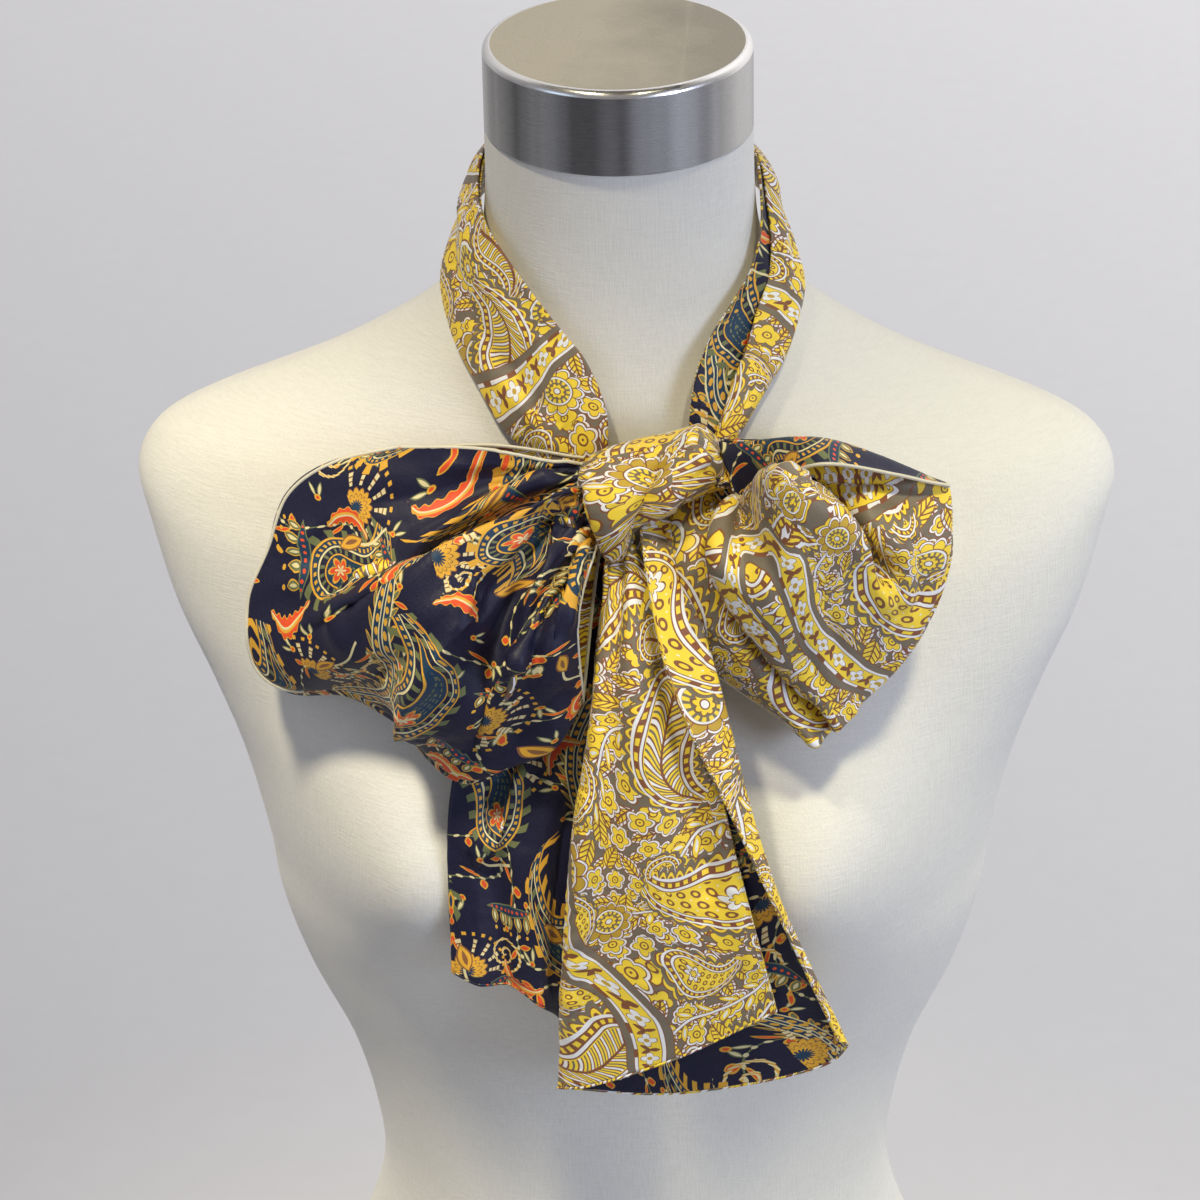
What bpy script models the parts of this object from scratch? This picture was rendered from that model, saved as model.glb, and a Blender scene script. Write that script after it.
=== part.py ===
"""A double-faced silk scarf tied in a bow at the neck of a limbless dress form.

Metres, +Z up, +X to the viewer's right, the form faces -Y. The origin is the
middle of the form's flat underside. Tables are in millimetres.
"""

import math

import bmesh
import bpy
from mathutils import Vector

MM = 0.001

# ---- driving dimensions -------------------------------------------------
NECK_TOP = 700.0  # height of the jersey's upper end, under the steel cap
CAP_RADIUS = 55.0
CAP_HEIGHT = 36.0
CAP_ROUND = 3.0
CAP_SEAT = 0.3
FORM_AROUND = 40

# Cross-sections of the dress form, from the neck down. down = distance below
# NECK_TOP, half = half width, front and back = depth from the neck's axis,
# power = how square the section is (2 is an ellipse).
FORM_SECTIONS = (
    # down, half, front, back, power
    (0, 53, 52, 54, 2.00),
    (28, 53, 52, 56, 2.00),
    (48, 57, 53, 60, 2.00),
    (64, 66, 55, 65, 1.80),
    (80, 85, 58, 70, 1.60),
    (95, 111, 61, 75, 1.50),
    (107, 136, 63, 79, 1.50),
    (117, 160, 65, 83, 1.55),
    (127, 183, 67, 86, 1.65),
    (138, 199, 69, 89, 1.85),
    (154, 206, 73, 93, 2.10),
    (175, 202, 82, 98, 2.30),
    (210, 193, 92, 102, 2.35),
    (245, 179, 99, 104, 2.35),
    (280, 167, 103, 102, 2.30),
    (320, 158, 105, 96, 2.30),
    (350, 154, 103, 89, 2.30),
    (385, 144, 97, 82, 2.25),
    (425, 127, 90, 75, 2.20),
    (465, 117, 86, 71, 2.15),
    (500, 114, 86, 70, 2.15),
    (535, 122, 90, 76, 2.15),
    (580, 142, 97, 90, 2.20),
    (630, 160, 101, 104, 2.25),
    (700, 170, 100, 110, 2.30),
)
BUST_APART = 84.0
BUST_DOWN = 288.0
BUST_OUT = 40.0
BUST_WIDE = 47.0
BUST_TALL = 56.0

# ---- the scarf ----------------------------------------------------------
CLOTH = 1.2  # two silks sewn face out
SEAM = 0.01  # end of a neck stretch, counted in rows, short of its neighbour

# Closed rings along the knot, left to right: the top and foot of each ring
# and its depth in front and behind.
KNOT_RINGS = (
    # top_x, top_z, foot_x, foot_z, front, back
    (-11, 590, 3, 552, -110, -76),
    (-4, 595, 10, 557, -118, -75),
    (9, 599, 22, 570, -120, -75),
    (22, 602, 37, 576, -115, -76),
    (32, 606, 48, 581, -106, -78),
)
KNOT_AROUND = 20
KNOT_SQUARE = 0.85  # 1 is a round section, less is squarer

# Fold lines of each loop, from the knot along the front layer to the outer
# fold. Each has a root, a middle and a rim point. roll is how far behind the
# rim the rear layer turns back; rear_mid and rear_root are its depths there.
ROLL_OUT = 0.1  # the turn's reach past the rim, as a share of roll
ROLL_SINK = 0.6  # how far the rear layer sinks below the rim, likewise
REAR_ROOT_SINK = 3
LEFT_LOOP = (
    # root x, y, z, middle x, y, z, rim x, y, z, roll, rear_mid, rear_root
    ((-12, -92, 591), (-50, -95, 599), (-84, -90, 597), 10, -82, -80),
    ((-12, -94, 590), (-62, -99, 590), (-108, -88, 590), 12, -79, -80),
    ((-12, -96, 589), (-72, -103, 580), (-128, -88, 575), 14, -78, -80),
    ((-12, -98, 589), (-80, -105, 570), (-136, -92, 554), 15, -78, -81),
    ((-12, -99, 588), (-84, -108, 560), (-144, -96, 534), 16, -78, -82),
    ((-12, -101, 587), (-84, -112, 553), (-145, -100, 519), 16, -80, -83),
    ((-11, -106, 587), (-80, -134, 569), (-142, -103, 506), 16, -84, -84),
    ((-11, -107, 585), (-74, -141, 553), (-130, -107, 498), 16, -88, -86),
    ((-10, -108, 583), (-70, -142, 536), (-108, -112, 499), 14, -94, -88),
    ((-9, -108, 581), (-62, -143, 524), (-88, -121, 494), 12, -102, -90),
    ((-9, -108, 579), (-54, -146, 518), (-74, -130, 482), 10, -108, -92),
    ((-8, -109, 577), (-46, -149, 519), (-63, -136, 475), 8, -112, -93),
    ((-7, -110, 574), (-38, -149, 530), (-53, -138, 475), 8, -112, -94),
    ((-6, -109, 572), (-28, -140, 540), (-38, -139, 483), 8, -110, -94),
    ((-5, -108, 569), (-19, -144, 551), (-22, -140, 492), 8, -110, -93),
    ((-4, -104, 567), (-12, -136, 547), (-11, -133, 508), 6, -108, -93),
)
RIGHT_LOOP = (
    # root x, y, z, middle x, y, z, rim x, y, z, roll, rear_mid, rear_root
    ((49, -106, 588), (88, -118, 603), (135, -104, 592), 16, -70, -78),
    ((43, -94, 602), (86, -104, 609), (131, -97, 599), 10, -80, -84),
    ((47, -96, 594), (92, -102, 590), (132, -100, 585), 9, -80, -85),
    ((48, -97, 591), (98, -113, 588), (133, -104, 573), 10, -80, -85),
    ((49, -98, 588), (104, -126, 577), (133, -108, 557), 12, -80, -86),
    ((49, -99, 585), (98, -124, 566), (129, -111, 537), 12, -82, -86),
    ((50, -103, 584), (83, -143, 601), (119, -115, 519), 12, -84, -87),
    ((50, -104, 583), (72, -147, 577), (104, -119, 503), 10, -90, -88),
    ((50, -104, 582), (60, -146, 563), (94, -123, 495), 8, -96, -90),
    ((49, -104, 579), (46, -134, 567), (88, -126, 488), 8, -100, -91),
    ((46, -97, 577), (58, -115, 551), (84, -123, 482), 8, -102, -92),
    ((25, -107, 570), (47, -124, 556), (79, -126, 476), 8, -104, -93),
    ((20, -104, 567), (37, -113, 541), (72, -122, 481), 8, -102, -93),
)

# Fold lines of the tails, each through four levels: under the knot, on the
# chest, on the bust and at the hem. The right tail is folded lengthwise, with
# a margin of its rear half turned over its front half.
LEFT_TAIL = (
    ((-3, -86, 552), (-50, -100, 500), (-66, -127, 456), (-67, -139, 379)),
    ((-1, -88, 552), (-40, -104, 498), (-56, -130, 448), (-56, -144, 376)),
    ((1, -87, 552), (-28, -104, 497), (-46, -128, 436), (-44, -137, 372)),
    ((3, -89, 552), (-14, -111, 492), (-29, -135, 436), (-31, -146, 368)),
    ((5, -89, 553), (-8, -109, 490), (-18, -132, 428), (-24, -138, 358)),
    ((7, -87, 554), (-2, -104, 492), (-10, -127, 428), (-21, -133, 348)),
)
RIGHT_TAIL = (
    ((16, -107, 563), (33, -130, 520), (50, -149, 445), (67, -150, 369)),
    ((8, -112, 556), (12, -139, 517), (22, -152, 441), (26, -151, 346)),
    ((1, -113, 550), (-1, -139, 511), (-5, -150, 440), (-10, -150, 331)),
    ((-2, -107, 548), (-5, -132, 507), (-14, -144, 441), (-22, -143, 325)),
    ((6, -100, 553), (14, -125, 510), (20, -141, 443), (28, -141, 322)),
    ((17, -104, 563), (38, -129, 518), (56, -146, 450), (81, -142, 335)),
    ((18, -114, 563), (41, -139, 517), (60, -152, 448), (96, -144, 348)),
    ((12, -119, 558), (25, -143, 520), (54, -156, 455), (93, -148, 354)),
)

# The stretch round the neck: its edge next to the neck, its edge on the
# shoulder, and the share of its width that the outer layer folds back over.
NECK_WRAP = (
    # upper x, y, z, lower x, y, z, flap
    ((-4, -70, 581), (-16, -70, 563), 0.95),
    ((-5, -68, 602), (-30, -66, 581), 0.95),
    ((-13, -64, 621), (-44, -60, 592), 0.95),
    ((-22, -58, 631), (-55, -48, 606), 0.95),
    ((-33, -52, 644), (-65, -34, 620), 0.95),
    ((-45, -41, 658), (-71, -14, 636), 0.95),
    ((-54, -24, 667), (-67, 0, 649), 0.95),
    ((-57, -6, 675), (-61, 14, 656), 0.95),
    ((-55, 16, 682), (-58, 28, 657), 0.95),
    ((-45, 36, 686), (-49, 44, 657), 0.90),
    ((-25, 51, 688), (-28, 60, 656), 0.85),
    ((0, 56.2, 689), (0, 65, 656), 0.85),
    ((25, 51, 688), (28, 60, 656), 0.85),
    ((45, 36, 686), (49, 44, 657), 0.85),
    ((55, 16, 681), (58, 28, 657), 0.80),
    ((58, -5, 671), (61, 13, 656), 0.75),
    ((58, -19, 660), (68, 0, 646), 0.70),
    ((54, -32, 649), (73, -13, 636), 0.65),
    ((46, -44, 639), (71, -27, 626), 0.60),
    ((39, -52, 630), (66, -41, 615), 0.50),
    ((34, -60, 620), (59, -51, 606), 0.45),
    ((31, -66, 608), (52, -61, 597), 0.40),
    ((30, -70, 595), (44, -71, 586), 0.35),
)
NECK_LEFT_ENDS = 8
NECK_RIGHT_STARTS = 14
BAND_FOLD = 4.0  # between the two layers, where they fold over
BAND_PUFF = 3.0  # how much further the outer layer stands off in its middle
INNER_SHARES = (0.0, 0.33, 0.66, 0.93)
OUTER_SHARES = (0.07, 0.33, 0.67, 1.0)


def remove_everything():
    for obj in list(bpy.data.objects):
        bpy.data.objects.remove(obj, do_unlink=True)


def material(name, colour, roughness, metallic=0.0):
    made = bpy.data.materials.new(name)
    made.use_nodes = True
    shader = made.node_tree.nodes["Principled BSDF"]
    shader.inputs["Base Color"].default_value = (*colour, 1.0)
    shader.inputs["Roughness"].default_value = roughness
    shader.inputs["Metallic"].default_value = metallic
    return made


def smooth_between(values, place):
    """Catmull-Rom value at a place counted in rows, 0 for the first row."""
    last = len(values) - 1
    row = min(int(place), last - 1)
    t = place - row
    a, b, c, d = (values[max(0, min(last, row + k))] for k in (-1, 0, 1, 2))
    return b + 0.5 * t * (c - a + t * (2 * a - 5 * b + 4 * c - d + t * (3 * (b - c) + d - a)))


def signed_power(value, power):
    return math.copysign(abs(value) ** power, value)


def form_point(place, angle):
    """A point of the dress form, on a section counted in rows of FORM_SECTIONS."""
    down, half, front, back, power = (
        smooth_between(column, place) for column in zip(*FORM_SECTIONS)
    )
    x = half * signed_power(math.cos(angle), 2 / power)
    side = signed_power(math.sin(angle), 2 / power)
    y = (back if side > 0 else front) * side
    across = (abs(x) - BUST_APART) / BUST_WIDE
    along = (down - BUST_DOWN) / BUST_TALL
    facing = max(0.0, -math.sin(angle)) ** 0.5
    y -= BUST_OUT * facing * math.exp(-across * across - along * along)
    return Vector((x, y, NECK_TOP - down)) * MM


def mesh_object(name, mesh, look, where):
    obj = bpy.data.objects.new(name, mesh)
    mesh.materials.append(look)
    mesh.shade_smooth()
    where.objects.link(obj)
    return obj


def loft(name, rings, look, where):
    """A closed solid through rings of points, its first and last ring filled."""
    made = bmesh.new()
    loops = [[made.verts.new(point) for point in ring] for ring in rings]
    count = len(loops[0])
    for upper, lower in zip(loops, loops[1:]):
        for k in range(count):
            n = (k + 1) % count
            made.faces.new((upper[k], lower[k], lower[n], upper[n]))
    made.faces.new(loops[0])
    made.faces.new(reversed(loops[-1]))
    bmesh.ops.recalc_face_normals(made, faces=made.faces)
    mesh = bpy.data.meshes.new(name)
    made.to_mesh(mesh)
    made.free()
    return mesh_object(name, mesh, look, where)


def build_form(where):
    jersey = material("jersey", (0.80, 0.77, 0.68), 0.9)
    rings = []
    for row in range(len(FORM_SECTIONS)):
        rings.append(
            [form_point(row, 2 * math.pi * k / FORM_AROUND) for k in range(FORM_AROUND)]
        )
    loft("form_torso", rings, jersey, where)


def build_cap(where):
    steel = material("brushed_steel", (0.62, 0.61, 0.58), 0.3, 1.0)
    bottom = NECK_TOP + CAP_SEAT
    top = bottom + CAP_HEIGHT
    corner = [
        (
            CAP_RADIUS - CAP_ROUND * (1 - math.cos(turn)),
            top - CAP_ROUND * (1 - math.sin(turn)),
        )
        for turn in (math.pi / 2, math.pi / 4, 0)
    ]
    outline = [(0, top), *corner, (CAP_RADIUS, bottom), (0, bottom)]
    mesh = bpy.data.meshes.new("form_neck_cap")
    points = [(x * MM, 0, z * MM) for x, z in outline]
    mesh.from_pydata(points, [(k, k + 1) for k in range(len(points) - 1)], [])
    cap = mesh_object("form_neck_cap", mesh, steel, where)
    screw = cap.modifiers.new("turned", "SCREW")
    screw.steps = screw.render_steps = 48
    screw.use_merge_vertices = True
    screw.merge_threshold = 0.0001


def smooth_row(points, place):
    return Vector([smooth_between(axis, place) for axis in zip(*points)])


def through_folds(folds, across, steps):
    """Points of a sheet between its fold lines, at the given steps along them."""
    grid = []
    for k in range(across + 1):
        place = k * (len(folds) - 1) / across
        line = [smooth_row(stations, place) for stations in zip(*folds)]
        grid.append([smooth_row(line, step) for step in steps])
    return grid


def loop_grid(table, across, along):
    """A bow's loop: its front layer, the rolled outer fold, then the rear layer."""
    folds = []
    for root, mid, rim, roll, rear_mid, rear_root in table:
        away = (Vector(rim) - Vector(root)).normalized()
        sunk = Vector((0, roll, -ROLL_SINK * roll))
        turn = Vector(rim) + away * ROLL_OUT * roll + sunk / 2
        halfway = (Vector(root) + Vector(rim)) / 2
        behind_mid = (halfway.x, rear_mid, halfway.z)
        behind_root = (root[0], rear_root, root[2] - REAR_ROOT_SINK)
        folds.append((root, mid, rim, turn, Vector(rim) + sunk, behind_mid, behind_root))
    front = [k / along for k in range(2 * along)]
    outer_fold = [2, 2.5, 3, 3.5, 4]
    rear = [4 + k / along for k in range(1, 2 * along + 1)]
    return through_folds(folds, across, front + outer_fold + rear)


def tail_grid(table, across, along):
    levels = len(table[0]) - 1
    return through_folds(table, across, [levels * k / along for k in range(along + 1)])


def band_grid(start, end, along):
    """The neck stretch: an inner layer, a fold on the shoulder, a layer over it."""
    uppers, lowers, flaps = zip(*NECK_WRAP)
    last = len(NECK_WRAP) - 1
    grid = []
    for k in range(along + 1):
        place = start + (end - start) * k / along
        upper = smooth_row(uppers, place)
        lower = smooth_row(lowers, place)
        width = lower - upper
        forward = smooth_row(uppers, min(place + 0.5, last)) - smooth_row(uppers, max(place - 0.5, 0))
        out = forward.cross(width).normalized()
        line = [upper + width * share for share in INNER_SHARES]
        line.append(lower + (out * 2 + width.normalized()) * BAND_FOLD / 4)
        for share in OUTER_SHARES:
            stand = BAND_FOLD + BAND_PUFF * math.sin(math.pi * share)
            folded = smooth_between(flaps, place) * share
            line.append(lower - width * folded + out * stand)
        grid.append(line)
    return grid


def cloth_sheet(name, grid, look, where):
    """A sheet through a grid of points in millimetres, given its thickness."""
    mesh = bpy.data.meshes.new(name)
    wide = len(grid[0])
    points = [point * MM for line in grid for point in line]
    faces = []
    for k in range(len(grid) - 1):
        for n in range(wide - 1):
            at = k * wide + n
            faces.append((at, at + wide, at + wide + 1, at + 1))
    mesh.from_pydata(points, [], faces)
    sheet = mesh_object(name, mesh, look, where)
    thick = sheet.modifiers.new("cloth", "SOLIDIFY")
    thick.thickness = CLOTH * MM
    thick.offset = 0.0


def build_knot(look, where):
    turns = [2 * math.pi * k / KNOT_AROUND for k in range(KNOT_AROUND)]
    rings = []
    for top_x, top_z, foot_x, foot_z, front, back in KNOT_RINGS:
        middle = Vector((top_x + foot_x, front + back, top_z + foot_z)) / 2
        rise = Vector((top_x - foot_x, 0, top_z - foot_z)) / 2
        deep = Vector((0, back - front, 0)) / 2
        ring = []
        for turn in turns:
            up = rise * signed_power(math.cos(turn), KNOT_SQUARE)
            into = deep * signed_power(math.sin(turn), KNOT_SQUARE)
            ring.append((middle + up + into) * MM)
        rings.append(ring)
    loft("scarf_knot", rings, look, where)


def build_scarf(where):
    silk = material("printed_silk", (0.55, 0.42, 0.14), 0.45)
    build_knot(silk, where)
    last = len(NECK_WRAP) - 1
    sheets = {
        "scarf_neck_left": band_grid(0, NECK_LEFT_ENDS - SEAM, 16),
        "scarf_neck_back": band_grid(NECK_LEFT_ENDS + SEAM, NECK_RIGHT_STARTS - SEAM, 12),
        "scarf_neck_right": band_grid(NECK_RIGHT_STARTS + SEAM, last, 16),
        "scarf_loop_left": loop_grid(LEFT_LOOP, 32, 3),
        "scarf_loop_right": loop_grid(RIGHT_LOOP, 24, 3),
        "scarf_tail_left": tail_grid(LEFT_TAIL, 10, 8),
        "scarf_tail_right": tail_grid(RIGHT_TAIL, 21, 8),
    }
    for name, grid in sheets.items():
        cloth_sheet(name, grid, silk, where)


def build():
    remove_everything()
    where = bpy.data.collections.new("scarf_on_dress_form")
    bpy.context.scene.collection.children.link(where)
    build_form(where)
    build_cap(where)
    build_scarf(where)


build()
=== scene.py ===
"""Looks of a double-faced silk scarf, tied in a bow on a limbless dress form.

Metres in the frame of the CAD: +Z up, +X to the viewer's right, the form
faces -Y. Tables of shapes are in millimetres, and so is the print's layout.
"""

import math
from functools import partial

import bpy
import numpy as np
from mathutils import Matrix, Vector
from numpy.linalg import norm


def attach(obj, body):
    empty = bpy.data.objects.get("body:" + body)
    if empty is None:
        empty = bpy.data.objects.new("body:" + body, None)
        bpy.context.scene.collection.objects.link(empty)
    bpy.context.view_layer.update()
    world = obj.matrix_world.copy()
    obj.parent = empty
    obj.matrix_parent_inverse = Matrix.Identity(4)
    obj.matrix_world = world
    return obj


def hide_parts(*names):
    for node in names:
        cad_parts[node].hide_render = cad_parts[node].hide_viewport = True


MM = 0.001
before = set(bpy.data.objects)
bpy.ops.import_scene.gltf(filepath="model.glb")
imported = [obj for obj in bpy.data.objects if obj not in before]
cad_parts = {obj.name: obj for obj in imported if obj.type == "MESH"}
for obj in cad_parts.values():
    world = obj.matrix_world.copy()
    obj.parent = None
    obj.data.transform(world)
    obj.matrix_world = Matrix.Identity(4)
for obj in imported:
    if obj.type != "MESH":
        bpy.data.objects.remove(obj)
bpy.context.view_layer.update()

# ---- camera ----
CAMERA_AT = (0.1015, -1.8465, 1.4757)
CAMERA_YAW, CAMERA_DOWN, CAMERA_ROLL = 3.5, 28.3, 1.1  # degrees
CAMERA_LENS, CAMERA_SENSOR, CAMERA_REACH = 147, 36, 20  # mm, mm and m

# ---- light and room ----
LAMPS = (
    # name, kind, place, aim, size, power, colour
    ("spot_left", "SPOT", (-0.52, -0.72, 2.3), (-0.165, -0.1, 0.395), 0.12, 170, (1, 0.905, 0.67)),
    ("spot_right", "SPOT", (0.55, -0.70, 2.3), (0.215, -0.1, 0.43), 0.12, 110, (1, 0.93, 0.62)),
    ("window", "AREA", (1.9, -1.7, 1.2), (0, -0.05, 0.58), 1.1, 27, (0.66, 0.76, 1)),
    ("bounce", "AREA", (-1.9, -1.7, 1.2), (0, -0.05, 0.58), 1.1, 4, (0.55, 0.74, 1)),
)
SPOT_CONE, SPOT_BLEND = 0.285, 0.7
SKY, SKY_POWER = (1, 0.86, 0.83), 0.06
ROOM_FLOOR = (0.001, 0.5, 1, 2, 3.5)  # radii of its rings
ROOM_CURVE, ROOM_TOP = 2.5, 9
ROOM_ARC, ROOM_TURNS = 16, 65  # points up the curve and round the room
# The glow behind the form: at the floor's middle, upwards, and to the right.
WALL_GLOW, WALL_RISE, WALL_LEAN = 0.70, 0.66, 0.85

# ---- dress form ----
NECK_TOP = 700
CAP_RADIUS, CAP_HEIGHT = 55, 36
CAP_ROUND, CAP_FOOT_ROUND = 3.2, 0.6
CAP_SEAT = 0.3  # how far it stands off the neck
CAP_EDGE = 2.5  # how far down its edge has a painted highlight
CAP_ARC, CAP_TURNS = 9, 160  # points round its edge and round the cap
FORM_SECTIONS = (
    # down from the neck's top, half width, front, back, power of the section
    (0, 55, 52, 54, 2.0),
    (28, 55.4, 52, 56, 2.0),
    (48, 58, 53, 60, 2.0),
    (64, 66, 55, 65, 1.8),
    (80, 85, 58, 70, 1.6),
    (95, 111, 61, 75, 1.5),
    (107, 136, 63, 79, 1.5),
    (117, 160, 65, 83, 1.55),
    (127, 183, 67, 86, 1.65),
    (138, 199, 69, 89, 1.85),
    (154, 206, 73, 93, 2.1),
    (175, 202, 82, 98, 2.3),
    (210, 193, 92, 102, 2.35),
    (245, 179, 99, 104, 2.35),
    (280, 167, 103, 102, 2.3),
    (320, 158, 105, 96, 2.3),
    (350, 154, 103, 89, 2.3),
    (385, 144, 97, 82, 2.25),
    (425, 127, 90, 75, 2.2),
    (465, 117, 86, 71, 2.15),
    (500, 114, 86, 70, 2.15),
    (535, 122, 90, 76, 2.15),
    (580, 142, 97, 90, 2.2),
    (630, 160, 101, 104, 2.25),
    (700, 170, 100, 110, 2.3),
)
FORM_SIZE = (289, 193)  # points down the form and round it
BUST_APART, BUST_DOWN = 84, 288
BUST_OUT, BUST_WIDE, BUST_TALL = 40, 47, 56
MERGE = 0.00001  # metres

# ---- scarf ----
STRIP = 0.21  # width the scarf is cut to, in metres
CLOTH = 1  # its thickness
CREST = 0.25  # how round a crease is, as a share of its width
CREST_STEEP, FOLD_FADE = 2.2, 2.2  # how fast it falls away, at its sides and its ends
FOLD_STEPS = 40  # points along it
FOLD_ROWS, FOLD_STATIONS = 3, 1.2  # how far it reaches in its table
# Gathers: the waves in each, their scale, the run over which they grow from the knot,
# and the share of them that is left far from it.
WAVES, WAVE_SCALE, WAVE_START, WAVE_REST = 6, 2.4, 8, 0.12
HEM, HEM_GIRTH = 0.75, 4.7  # radius of the rolled edge, and the way round it
# The piped line of the left loop: its share of the rows, its start and end as
# shares of the columns, and how far it stands out.
EDGE_SHARE, EDGE_AT, EDGE_STAND = 0.5, (0.335, 0.385), 1

KNOT_RINGS = (
    # top_x, top_z, foot_x, foot_z, front, back
    (-12, 590, 3, 551, -112, -76),
    (-5, 596, 8, 562, -122, -75),
    (9, 600, 20, 574, -122, -75),
    (22, 603, 34, 581, -118, -76),
    (33, 607, 49, 585, -110, -78),
)
KNOT_SQUARE = 0.85
KNOT_TUCK = 0.5  # how far the round ends reach, in rings
KNOT_BULGE = 3  # and in millimetres
KNOT_CLOSE = 0.985  # how nearly they close
KNOT_SIZE = (97, 145)  # points along the knot and round it
KNOT_FLAT = (55, 120)  # its cloth laid flat
# As the sheets' folds: stations 4 to 8 run up the knot's front.
KNOT_FOLDS = (
    ((2.5, 7.9, 2.3, 7.1, 2.1, 6.2, 1.8, 5.3, 1.5, 4.4), -8, 7),
    ((0.9, 7.8, 1.1, 7, 1, 6, 0.7, 5), 4, 8),
    ((3.2, 7.9, 3.3, 7.1, 3.3, 6.3), 3.5, 7),
    ((3.9, 5.6, 3.2, 5.1, 2.4, 4.9), -5, 7),
    ((2.5, 7.9, 3.1, 7.5, 3.9, 7.1), -2.2, 3),
    ((2.1, 7.9, 2.7, 7.6, 3.5, 7.6), 1.6, 2.5),
    ((0.1, 7.3, 0.6, 7.1, 1.2, 7.4), -2, 2.5),
    ((0, 6.4, 0.4, 5.8, 0.5, 5), -1.8, 3),
    ((1.4, 7.9, 1.6, 7.2, 1.55, 6.4), 1.6, 3),
    ((2.8, 6.2, 2.4, 5.6, 1.9, 4.9), 1.6, 3),
)

# A loop's outer fold stands out and turns down by these shares of its roll, and
# the rear layer's root lies this far under the front one's.
ROLL_OUT, ROLL_SINK, REAR_ROOT_SINK = 0.1, 0.6, 3
# Fold lines of each loop from the knot to its outer fold, top to bottom.
LEFT_LOOP = (
    # root, middle, rim, roll, rear_mid, rear_root
    ((-12, -92, 591), (-50, -95, 599), (-84, -90, 597), 10, -82, -80),
    ((-12, -94, 590), (-62, -99, 590), (-108, -88, 590), 12, -79, -80),
    ((-12, -96, 589), (-72, -103, 580), (-128, -88, 575), 14, -78, -80),
    ((-12, -98, 589), (-80, -105, 570), (-136, -92, 554), 15, -78, -81),
    ((-12, -99, 588), (-84, -108, 560), (-144, -96, 534), 16, -78, -82),
    ((-12, -101, 587), (-84, -112, 553), (-145, -100, 519), 16, -80, -83),
    ((-11, -106, 587), (-80, -134, 569), (-142, -103, 506), 16, -84, -84),
    ((-11, -107, 585), (-74, -141, 553), (-130, -107, 498), 16, -88, -86),
    ((-10, -108, 583), (-70, -142, 536), (-108, -112, 499), 14, -94, -88),
    ((-9, -108, 581), (-62, -143, 524), (-88, -121, 494), 12, -102, -90),
    ((-9, -108, 579), (-54, -146, 518), (-74, -130, 482), 10, -108, -92),
    ((-8, -109, 577), (-46, -149, 519), (-63, -136, 475), 8, -112, -93),
    ((-7, -110, 574), (-38, -149, 530), (-53, -138, 475), 8, -112, -94),
    ((-6, -109, 572), (-28, -140, 540), (-38, -139, 483), 8, -110, -94),
    ((-5, -108, 569), (-19, -144, 551), (-22, -140, 492), 8, -110, -93),
    ((-4, -104, 567), (-12, -136, 547), (-11, -133, 508), 6, -108, -93),
)
RIGHT_LOOP = (
    ((49, -106, 588), (88, -118, 604), (131, -103, 589), 10, -70, -78),
    ((43, -94, 602), (86, -104, 609), (130, -97, 588), 9, -80, -84),
    ((47, -96, 594), (92, -102, 590), (132, -100, 585), 9, -80, -85),
    ((48, -97, 591), (98, -113, 588), (133, -104, 573), 10, -80, -85),
    ((49, -98, 588), (104, -126, 577), (132, -108, 557), 12, -80, -86),
    ((49, -99, 585), (98, -124, 566), (126, -111, 538), 12, -82, -86),
    ((50, -103, 584), (83, -143, 601), (115, -115, 520), 12, -84, -87),
    ((50, -104, 583), (72, -147, 577), (101, -119, 505), 10, -90, -88),
    ((50, -104, 582), (60, -146, 563), (95, -124, 499), 8, -96, -90),
    ((49, -100, 583), (46, -136, 567), (88, -128, 495), 8, -100, -91),
    ((44, -90, 587), (56, -103, 553), (87, -116, 490), 8, -102, -92),
    ((28, -94, 585), (44, -126, 554), (80, -127, 487), 8, -104, -93),
    ((18, -95, 582), (33, -113, 541), (72, -121, 490), 8, -102, -93),
)
LEFT_TAIL = (
    ((-3, -86, 552), (-50, -100, 500), (-66, -127, 456), (-67, -139, 379)),
    ((-1, -88, 552), (-40, -104, 498), (-56, -130, 448), (-56, -144, 376)),
    ((1, -87, 552), (-28, -104, 497), (-46, -128, 436), (-44, -137, 372)),
    ((3, -89, 552), (-14, -111, 492), (-29, -135, 436), (-31, -146, 368)),
    ((5, -89, 553), (-8, -109, 490), (-18, -132, 428), (-24, -138, 358)),
    ((7, -87, 554), (-2, -104, 492), (-10, -127, 428), (-21, -133, 348)),
)
RIGHT_TAIL = (
    ((16, -100, 575), (33, -130, 520), (50, -149, 445), (67, -150, 369)),
    ((8, -104, 567), (12, -139, 517), (22, -152, 441), (26, -151, 346)),
    ((1, -108, 558), (-1, -139, 511), (-5, -150, 440), (-10, -150, 331)),
    ((-2, -102, 556), (-5, -132, 507), (-14, -144, 441), (-22, -143, 325)),
    ((6, -95, 563), (14, -125, 510), (20, -141, 443), (28, -141, 322)),
    ((17, -98, 577), (38, -129, 518), (56, -146, 450), (81, -142, 335)),
    ((19, -104, 578), (41, -139, 517), (60, -152, 448), (96, -144, 348)),
    ((12, -110, 571), (25, -143, 520), (54, -156, 455), (93, -148, 354)),
)
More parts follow.
